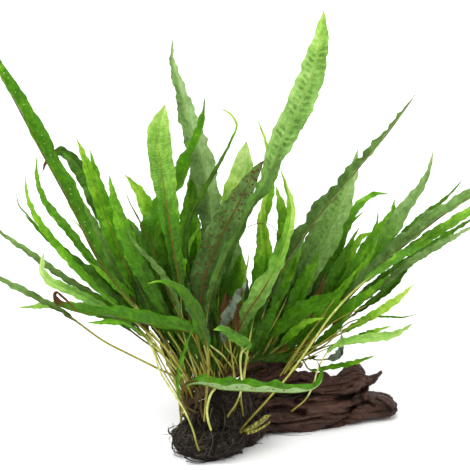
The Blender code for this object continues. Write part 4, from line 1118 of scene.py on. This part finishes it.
# Stalks that show in front of the rest: pixels of the photo, depth, thickness, colour
looseStalks = [
    ([(217, 386), (211, 394), (208, 403), (207, 413), (208.5, 422), (211, 430)], -44, 1.25, 0.86),
    ([(208, 376), (207, 392), (205.5, 406), (204, 421)], -42, 0.9, 0.62),
    ([(203, 387), (197, 382), (190, 381.5), (184.5, 385), (182, 392), (183.5, 401), (188, 408), (196, 412)],
     -42, 1.3, 0.16),
    ([(192, 384), (197, 388), (199, 394), (197, 401), (196, 408)], -41, 1.5, 0.12),
    ([(189, 384), (195, 386), (199, 392), (201, 400), (201, 409), (203, 418)], -39, 1, 0.2),
    ([(150, 334), (156, 355), (163, 371), (172, 386), (181, 402), (186, 416)], -36, 0.75, 0.6),
    ([(160, 345), (168, 365), (176, 382), (180, 396), (183, 412)], -34, 0.7, 0.6),
    ([(196, 335), (200, 352), (205, 368), (208, 384)], -24, 0.75, 0.5),
    ([(247, 352), (245, 366), (242, 380), (241, 396), (243, 413)], -30, 0.7, 0.7),
    ([(230, 345), (232, 358), (234, 370), (236, 382)], -22, 0.75, 0.5),
    ([(292, 372), (312, 356), (336, 345), (356, 338)], 4, 0.6, 0.5),
    ([(290, 370), (315, 348), (338, 332), (362, 322), (380, 312)], 2, 0.6, 0.55),
    ([(286, 372), (304, 350), (322, 330), (344, 316), (366, 306)], 8, 0.65, 0.52),
    ([(284, 374), (300, 348), (318, 322), (334, 300)], 6, 0.75, 0.56),
    ([(280, 376), (296, 352), (312, 330), (326, 314)], 0, 0.7, 0.5),
    ([(247, 227), (256, 224), (265, 223), (272, 226), (280, 234)], 14, 0.4, 0.4),
    ([(204, 345), (207, 358), (208, 370), (208, 384)], -26, 1, 0.72),
    ([(243, 346), (240, 358), (241, 370), (242, 384)], -32, 0.9, 0.62),
    ([(228, 333), (231, 350), (233, 366), (234, 380)], -28, 0.7, 0.62),
    ([(192, 334), (198, 346), (204, 358), (208, 370)], -30, 0.8, 0.42),
    ([(178, 334), (188, 350), (196, 364), (202, 376)], -30, 0.8, 0.5),
    ([(168, 332), (180, 350), (190, 366), (198, 380)], -32, 0.75, 0.55),
    ([(158, 330), (172, 352), (184, 370), (192, 382)], -34, 0.75, 0.3),
    ([(150, 330), (165, 348), (180, 368), (190, 384)], -36, 0.8, 0.66),
    ([(182, 398), (180, 408), (182, 420)], -38, 0.7, 0.3),
    ([(240, 400), (242, 408), (243.5, 416)], -32, 0.8, 0.35),
]


def makeLooseStalks():
    strands = [(seenPath(route, depth, 24), thick) for route, depth, thick, _ in looseStalks]
    piece = strandsToMesh("loose_stalks", strands, leafBuild["stalkRadius"], 2, taper=0.15)
    colours = [colour for _, _, _, colour in looseStalks]
    writeValues(piece.data, "foot", strandValues(piece, strands, colours))
    piece.data.materials.append(stalkAndRib)
    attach(piece, "root")


makeLooseStalks()
print("narrow and inner leaves grown")


# The driftwood: the three CAD solids made one surface, worn into grooves along the grain
wood = {
    "seed": 3.1,
    "voxel": 0.62 * mm,
    "armStart": 1.5 * mm,  # what of each of the two arms is drawn
    "overlap": 2.5 * mm,  # this far into the log
    "grain": Vector((0.95, 0.3, 0.03)),  # the way the log runs
    "smooth": 3,
    "lumps": (60, 2.2 * mm),  # scale and size
    # scales along and across the grain, then size and power, or the level where pits start and depth
    "waves": [(12, 90, 3.8 * mm, 2), (26, 260, 2 * mm, 2), (70, 800, 0.7 * mm, 1)],
    "pits": (22, 66, 0.16, 9 * mm),
    "drawn": 2 * mm,  # taken off all round, because the waves add it
    "calm": ((0.07, 0.078), (1, 0.4)),  # past this place along X the thin ends are worn less
    # places along X or Z, and the length over which what they start grows
    "feltBefore": (6 * mm, 9 * mm),  # roots cover the wood left of this
    "redBefore": (0.052, 0.025),
    "redAbove": (0.025, 0.012),
    # clefts and hollows that the photo shows: pixels, half width in pixels, depth
    "clefts": [
        ([(296, 403), (312, 403), (330, 402), (348, 396), (366, 388)], 3.2, 4 * mm),
        ([(262, 414), (276, 409), (290, 410), (303, 413)], 4.5, 6 * mm),
        ([(346, 409), (356, 406), (366, 402), (374, 406)], 2.2, 2.5 * mm),
        ([(300, 380), (322, 386), (344, 384), (362, 377)], 1.6, 1.8 * mm),
        ([(262, 398), (280, 394), (300, 394), (318, 393)], 1.8, 2.2 * mm),
        ([(270, 424), (295, 422), (320, 417), (350, 412)], 1.6, 1.8 * mm),
        ([(376, 399), (384, 403), (390, 410)], 1.5, 1.2 * mm),
        ([(325, 392), (340, 390), (352, 386)], 1.4, 1.6 * mm),
    ],
    "ragged": (260, 0.6),  # scale and share of a cleft's width
    # painted shade: how much a cleft's depth adds to the hollow value that darkens it
    "cleftShade": 1.1,
    "fibre": [(0.15, (0.006, 0.0025, 0.0015)), (0.42, (0.02, 0.009, 0.006)), (0.62, (0.042, 0.019, 0.012)),
              (0.85, (0.085, 0.05, 0.036))],
    # painted highlight: the proud ridges are lightened towards this colour
    "rim": (0.11, 0.07, 0.055),
    "red": (0.05, 0.011, 0.006),
    # painted shade in the grooves, pits and clefts
    "hollowShade": (0.003, 0.0018, 0.0012),
    "hair": [(0.4, (0.0035, 0.0025, 0.0018)), (0.52, (0.009, 0.0068, 0.005)), (0.64, (0.06, 0.05, 0.04))],
    "darkHair": (0.004, 0.003, 0.002),
}


# A copy of a CAD solid with its loose triangles merged
def copyOfNode(node, name):
    piece = newObject(name, frame["nodes"][node].data.copy())
    piece.data.name = name
    selectOnly(piece)
    bpy.ops.object.mode_set(mode="EDIT")
    bpy.ops.mesh.select_all(action="SELECT")
    bpy.ops.mesh.remove_doubles(threshold=0.01 * mm)
    bpy.ops.object.mode_set(mode="OBJECT")
    piece.data.materials.clear()
    if "custom_normal" in piece.data.attributes:
        piece.data.attributes.remove(piece.data.attributes["custom_normal"])
    return piece


def woodMaterial():
    material, tree = newMaterial("soakedWood")
    turn = -math.atan2(wood["grain"].y, wood["grain"].x)
    fibre = noiseOf(drawnPlace(tree, (0.1, 1, 1), turn), 520, 7, 0.68)
    broad = noiseOf(placeOf(tree), 45)
    mixed = plus(times(rangeOf(fibre, 0.33, 0.67), 0.6), times(rangeOf(broad, 0.3, 0.7), 0.4))
    hollow = valueOf(tree, "hollow")
    colour = rampOf(mixed, wood["fibre"])
    # painted highlight on the proud ridges, where the hollow value is below zero
    colour = mixColour(times(rangeOf(hollow, 0, -0.9), 0.22), colour, wood["rim"])
    colour = mixColour(times(valueOf(tree, "red"), 0.6), colour, wood["red"])
    # painted shade: the deeper the hollow, the nearer to black
    colour = mixColour(rangeOf(hollow, 0.1, 0.8), colour, wood["hollowShade"])
    # dark hair roots felted over it
    hair = noiseOf(drawnPlace(tree, (1, 1, 0.22)), 700, 4, 0.7)
    felt = mixColour(rangeOf(broad, 0.62, 0.4, 0, 0.7), rampOf(hair, wood["hair"]), wood["darkHair"])
    return finishAs(material, colour=mixColour(valueOf(tree, "felt"), colour, felt),
                    rough=rangeOf(fibre, 0.35, 0.65, 0.3, 0.6), relief=bumpOf(plus(fibre, hair), 1, 1.4 * mm),
                    shine=0.28, tint=(1, 0.72, 0.6))


soakedWood = woodMaterial()


# Under the left end the roots draw back from the front and from the left
leftEnd = {
    "low": 12 * mm,  # only what is lower than this draws back from the front
    # places along X or Y, and the length over which the move grows
    "left": (0.03, 0.02),
    "front": (-0.012, 0.02),
    "side": (-0.02, 0.016),
    "fromFront": 6 * mm,
    "fromSide": (1, 5),  # in millimetres, all the way up, and how much more where it is low
}


def drawBack(points):
    low = np.clip(1 - points[:, 2] / leftEnd["low"], 0, 1) * before(points[:, 0], *leftEnd["left"])
    points[:, 1] += leftEnd["fromFront"] * low * before(points[:, 1], *leftEnd["front"])
    always, more = leftEnd["fromSide"]
    points[:, 0] += (always + more * low) * mm * before(points[:, 0], *leftEnd["side"])


# Lumps, grooves along the grain and pits, pushed into a remeshed copy of a solid
wear = {
    "bowScale": 22,  # the grain bows from side to side
    "bow": 0.01,
    "level": 0.6,  # of a ridge's height, which stays where it was
}


def wornSurface(piece, settings, atLeftEnd=False):
    selectOnly(piece)
    piece.data.remesh_voxel_size = settings["voxel"]
    bpy.ops.object.voxel_remesh()
    applyModifier(piece, "SMOOTH", factor=0.5, iterations=settings["smooth"])
    mesh, seed = piece.data, settings["seed"]
    points, normals = readPoints(mesh), readRows(mesh.vertices, "normal")
    grain = settings["grain"].normalized()
    across = grain.cross(Vector((0, 0, 1))).normalized()
    over = across.cross(grain)
    moves, hollow = np.zeros(len(points)), np.zeros(len(points))
    lumpScale, lumpSize = settings["lumps"]
    pitRun, pitOver, pitFrom, pitDepth = settings["pits"]
    for i, spot in enumerate(points):
        place = Vector(spot)
        bow = Vector([noise.noise(place * wear["bowScale"] + Vector((seed + 31 * k, 0, 0)))
                      for k in range(3)]) * wear["bow"]
        run = place.dot(grain)
        a, b = (place + bow).dot(across), (place + bow).dot(over)
        move = noise.noise(place * lumpScale + Vector((0, seed, 0))) * lumpSize
        for slow, quick, size, power in settings["waves"]:
            ridge = 1 - abs(noise.noise(Vector((run * slow, a * quick, b * quick + seed))))
            sunk = (ridge ** (3 * power) - wear["level"]) * size
            move -= sunk
            hollow[i] += sunk
        pit = noise.noise(Vector((run * pitRun, a * pitOver + 5, b * pitOver + seed))) - pitFrom
        if pit > 0:
            move -= pit * pitDepth
            hollow[i] += pit * pitDepth
        moves[i] = move
    worn = np.interp(points[:, 0], *settings.get("calm", ((0, 1), (1, 1))))
    points += normals * (moves * worn - settings.get("drawn", 0) * worn**2)[:, None]
    if atLeftEnd:
        drawBack(points)
    points[:, 2] = np.maximum(points[:, 2], 0)
    writePoints(mesh, points)
    writeValues(mesh, "hollow", hollow / mm * 0.5)
    bpy.ops.object.shade_smooth()
    return points


def cleft(mesh, points):
    # the clefts go straight away from the camera, into what faces it
    px, py = pixelsOf(points)
    away = unitRows(points - np.array(eye))
    facing = np.clip(-(readRows(mesh.vertices, "normal") * away).sum(axis=1) * 3, 0, 1)
    hollow = readValues(mesh, "hollow")
    scale, share = wood["ragged"]
    for route, wide, depth in wood["clefts"]:
        spots = smoothPath([(x, y, 0) for x, y in route], 60)
        gap = np.min(np.hypot(px[:, None] - spots[:, 0], py[:, None] - spots[:, 1]), axis=1)
        ragged = np.array([noise.noise(Vector(spot) * scale) for spot in points])
        sunk = np.clip(1 - (gap / (wide * (1 + share * ragged))) ** 2, 0, 1) * facing
        points += away * (sunk * depth)[:, None]
        # painted shade: the clefts darken with their depth
        hollow += sunk * wood["cleftShade"]
    writeValues(mesh, "hollow", hollow)
    writePoints(mesh, points)


def makeWood():
    log, lobe, spur = (copyOfNode("driftwood_" + name, name) for name in ("log", "lower_lobe", "upper_spur"))
    for arm in (lobe, spur):
        points = readPoints(arm.data)
        near = points[:, 0] < points[:, 0].min() + wood["armStart"]
        points[near, 0] -= wood["overlap"]
        writePoints(arm.data, points)
    piece = joined([log, lobe, spur], "driftwood_worn")
    points = wornSurface(piece, wood, atLeftEnd=True)
    cleft(piece.data, points)
    writeValues(piece.data, "felt", before(points[:, 0], *wood["feltBefore"]))
    redness = before(points[:, 0], *wood["redBefore"]) * past(points[:, 2], *wood["redAbove"])
    writeValues(piece.data, "red", 0.3 + 0.7 * redness)
    piece.data.materials.append(soakedWood)
    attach(piece, "root")
    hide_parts("driftwood_log", "driftwood_lower_lobe", "driftwood_upper_spur")
    return piece


driftwood = makeWood()
print("driftwood worn:", len(driftwood.data.polygons), "faces")


# The roots: a lumpy mat, and hair roots that creep over it and over the end of the log
roots = {
    "seed": 8.7,
    "voxel": 0.8 * mm,
    "smooth": 3,
    "grain": Vector((0.1, 0.2, 0.97)),
    "lumps": (95, 3.8 * mm),
    "waves": [(40, 240, 2.4 * mm, 2), (90, 700, 1 * mm, 1)],
    "pits": (60, 110, 0.14, 10 * mm),
    "drawn": 1 * mm,
    "calm": ((0, 0.008), (1, 0.05)),
    "bareFrom": (0.0015, 0.004),  # along X and then Z, where wood shows through the felt
    "bareAbove": (0.03, 0.006),
    "hairs": 1900,
    "hairSeed": 41,
    "steps": 12,
    "stride": 2.7 * mm,
    "hairRadius": 0.16 * mm,
    "thicknesses": (0.6, 0.9, 1.2, 1.6, 2.6),
    "hanging": 0.55,  # the share that hangs straight down, and the rest creep any way
    "stray": (0.18, 0.55),  # how much a hanging one and a creeping one turn at a step
    "height": 0.8,  # above the mat, in millimetres
    "free": 0.07,  # the share that stands off at its end
    "freeFrom": 0.6,  # from this share of its steps on
    "freeRise": 0.9,  # by this much a step, in millimetres
    "rightEnd": 0.02,  # hairs start left of this, and thin out from fadeFrom on
    "fadeFrom": -0.005,
    # thick roots that stand off the ragged end: pixels of the photo, depth, thickness
    "loops": [
        ([(174, 438), (172, 444), (173, 450), (177, 453), (183, 455), (187, 459)], -20, 2.4),
        ([(176, 447), (180, 449), (183, 453), (180, 456), (176, 452)], -22, 1.8),
        ([(184, 457), (192, 461), (204, 462), (218, 460), (232, 457)], -36, 2.6),
        ([(186, 461), (195, 463), (206, 462.5)], -37, 1.8),
        ([(176, 436), (170, 434), (168, 430), (172, 427), (180, 425)], -18, 2.4),
        ([(172, 433), (166, 434.5), (162, 434)], -18, 1),
        ([(178, 426), (182, 421), (189, 420), (196, 424)], -24, 2.2),
        ([(196, 412), (193, 424), (195, 438), (191, 452)], -40, 2.2),
        ([(212, 408), (209, 424), (213, 440), (208, 456)], -42, 2),
        ([(222, 404), (226, 420), (221, 438), (225, 454)], -40, 1.8),
        ([(232, 412), (236, 428), (231, 442), (236, 452)], -36, 2.2),
        ([(262, 434), (267, 436), (268, 440)], -18, 1),
        ([(272, 433), (284, 435), (298, 435.5), (312, 434)], -16, 1.1),
    ],
}


def rootMaterial(name, low, high):
    material, tree = newMaterial(name)
    grain = noiseOf(placeOf(tree), 500, 4)
    strand = plus(times(valueOf(tree, "strand"), 0.6), times(grain, 0.4))
    return finishAs(material, colour=rampOf(strand, [(0.45, low), (0.9, high)]),
                    rough=rangeOf(grain, 0.3, 0.7, 0.55, 0.8), relief=bumpOf(grain, 0.5, 0.3 * mm),
                    shine=0.2, tint=(1, 0.85, 0.75))


def makeRootMat():
    piece = copyOfNode("root_mat", "root_mat_felt")
    points = wornSurface(piece, roots, atLeftEnd=True)
    bare = past(points[:, 0], *roots["bareFrom"]) * past(points[:, 2], *roots["bareAbove"])
    writeValues(piece.data, "felt", 1 - bare)
    writeValues(piece.data, "red", bare)
    piece.data.materials.append(soakedWood)
    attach(piece, "root")
    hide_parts("root_mat")
    return piece


rootMat = makeRootMat()


# A hair root creeps over the ground in short strides, which turn a little each time
def hairRoot(tree, rng, spot):
    hanging = rng.random() < roots["hanging"]
    stray = roots["stray"][0 if hanging else 1]
    way = Vector((rng.uniform(-0.8, 0.8), rng.uniform(-0.8, 0.8), rng.uniform(-1.4, 0.3))).normalized()
    if hanging:
        way = Vector((rng.uniform(-0.2, 0.2), rng.uniform(-0.2, 0.2), -1)).normalized()
    height = rng.uniform(0, roots["height"]) * mm
    free = rng.random() < roots["free"]
    freeFrom = roots["steps"] * roots["freeFrom"]
    points = []
    for step in range(roots["steps"]):
        nearest, normal, _, _ = tree.find_nearest(spot)
        if normal is None:
            break
        if free and step > freeFrom:
            held = nearest + normal * (height + (step - freeFrom) * roots["freeRise"] * mm)
        else:
            held = nearest + normal * height
        held.z = max(held.z, 0.2 * mm)
        points.append(held)
        way += Vector([rng.uniform(-stray, stray) for _ in range(3)])
        way = (way - normal * way.dot(normal)).normalized()
        spot = held + way * roots["stride"]
    return points


def makeHairRoots():
    ground = bmesh.new()
    for body in (driftwood, rootMat):
        ground.from_mesh(body.data)
    tree = BVHTree.FromBMesh(ground)
    starts = [vert.co.copy() for vert in ground.verts if vert.co.x < roots["rightEnd"] and vert.co.z > 1 * mm]
    ground.free()
    rng = random.Random(roots["hairSeed"])
    strands = []
    while len(strands) < roots["hairs"]:
        spot = rng.choice(starts)
        if rng.random() < (spot.x - roots["fadeFrom"]) / (roots["rightEnd"] - roots["fadeFrom"]):
            continue
        points = hairRoot(tree, rng, spot)
        if len(points) > 3:
            strands.append((points, rng.choice(roots["thicknesses"])))
    for route, depth, thick in roots["loops"]:
        path = seenPath(route, depth, roots["steps"])
        path[:, 2] = np.maximum(path[:, 2], 0.4 * mm)
        strands.append((path, thick))
    piece = strandsToMesh("hair_roots", strands, roots["hairRadius"], 0)
    writeValues(piece.data, "strand", strandValues(piece, strands, [rng.random() for _ in strands]))
    piece.data.materials.append(rootMaterial("hairRoots", (0.005, 0.0035, 0.0025), (0.105, 0.086, 0.066)))
    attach(piece, "root")
    print("hair roots laid:", len(piece.data.polygons), "faces")


makeHairRoots()


# Ringed shoots at the foot of the right side lie on the roots: thickness, pixels and depth
shoots = {
    "radius": 0.85 * mm,
    "pitch": 2.3 * mm,  # from ring to ring
    "blur": 300,
    "colour": (0.5, 0.2),  # the middle of the stalk's ramp, and how far the rings leave it
    "routes": [(1.1, [(244, 431, -25), (251, 428, -22), (257, 423, -19), (264, 418, -16), (271, 415, -13)]),
               (1.25, [(247, 433, -25), (255, 431, -22), (263, 427, -19), (270, 422, -16)]),
               (0.8, [(233, 428, -28), (236, 431.5, -27), (240, 432.5, -26), (244, 431, -25)])],
}


def makeShoots():
    strands = [(smoothPath([seenAt(x, y, depth * mm) for x, y, depth in spots], 50), thick)
               for thick, spots in shoots["routes"]]
    piece = strandsToMesh("ringed_shoots", strands, shoots["radius"], 3, taper=0.55)
    points = readPoints(piece.data)
    blur = np.array([noise.noise(Vector(spot) * shoots["blur"]) for spot in points])
    rings = np.sin(points[:, 0] * 2 * math.pi / shoots["pitch"] + 3 * blur)
    middle, spread = shoots["colour"]
    writeValues(piece.data, "foot", middle + spread * rings + spread * blur)
    piece.data.materials.append(stalkAndRib)
    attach(piece, "root")


makeShoots()

# The creeping stem and its young tip: rough all over, with colours from low to high
rhizomes = {
    "rhizome": {"name": "rhizome_scaly", "voxel": 0.9 * mm,
                "low": (0.02, 0.011, 0.006), "high": (0.11, 0.06, 0.022)},
    "young_rhizome_tip": {"name": "young_shoot", "voxel": 0.5 * mm,
                          "low": (0.12, 0.12, 0.03), "high": (0.34, 0.36, 0.11)},
}
scales = {"seed": 5.5, "smooth": 3, "grain": Vector((0.8, 0.6, 0.1)), "lumps": (260, 0.6 * mm),
          "waves": [(500, 350, 0.5 * mm, 1)], "pits": (200, 200, 0.3, 2 * mm)}


def makeRhizome(node, name, voxel, low, high):
    piece = copyOfNode(node, name)
    wornSurface(piece, {**scales, "voxel": voxel})
    piece.data.materials.append(spotMaterial(name + "Skin", low, high))
    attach(piece, "root")
    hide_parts(node)


for node, look in rhizomes.items():
    makeRhizome(node, **look)
print("rhizome made")

# Studio: a pale floor, a large soft light above the front left and two soft fills
studio = {
    "floorSize": 6,
    "floorColour": (0.9, 0.9, 0.9),
    "floorRough": 0.9,
    "world": 0.51,
    "aim": (0, 0, 0.1),
    "lights": [("key", (-0.7, -1.2, 2), 1.9, 70), ("fill", (1.6, -0.8, 1.3), 1.6, 20),
               ("back", (0.2, 1.6, 1.8), 1.6, 30)],  # name, place, size and power
    "clipStart": 0.05,
}


def aimed(name, data, place, target):
    holder = newObject(name, data)
    holder.location = place
    holder.rotation_euler = (Vector(target) - Vector(place)).to_track_quat("-Z", "Y").to_euler()
    return holder


def makeStudio():
    deselectAll()
    bpy.ops.mesh.primitive_plane_add(size=studio["floorSize"])
    floor = bpy.context.object
    floor.name = "floor"
    material, _ = newMaterial("paleFloor")
    floor.data.materials.append(finishAs(material, colour=studio["floorColour"], rough=studio["floorRough"]))
    world = bpy.data.worlds.new("softRoom")
    world.use_nodes = True
    background = world.node_tree.nodes["Background"]
    background.inputs["Color"].default_value = (1, 1, 1, 1)
    background.inputs["Strength"].default_value = studio["world"]
    bpy.context.scene.world = world
    for name, place, size, power in studio["lights"]:
        lamp = bpy.data.lights.new(name, "AREA")
        lamp.size, lamp.energy = size, power
        aimed(name, lamp, place, studio["aim"])
    camera = bpy.data.cameras.new("camera")
    camera.sensor_width = photo["sensor"]
    camera.lens = photo["sensor"] * photo["distance"] / (photo["pixels"] * photo["pixelSize"])
    camera.clip_start = studio["clipStart"]
    bpy.context.scene.camera = aimed("camera", camera, eye, (0, 0, photo["targetHeight"]))
    bpy.context.scene.view_settings.view_transform = "Standard"


makeStudio()
for helper in (flatFrond, flatLeaf, dome):
    bpy.data.objects.remove(helper)
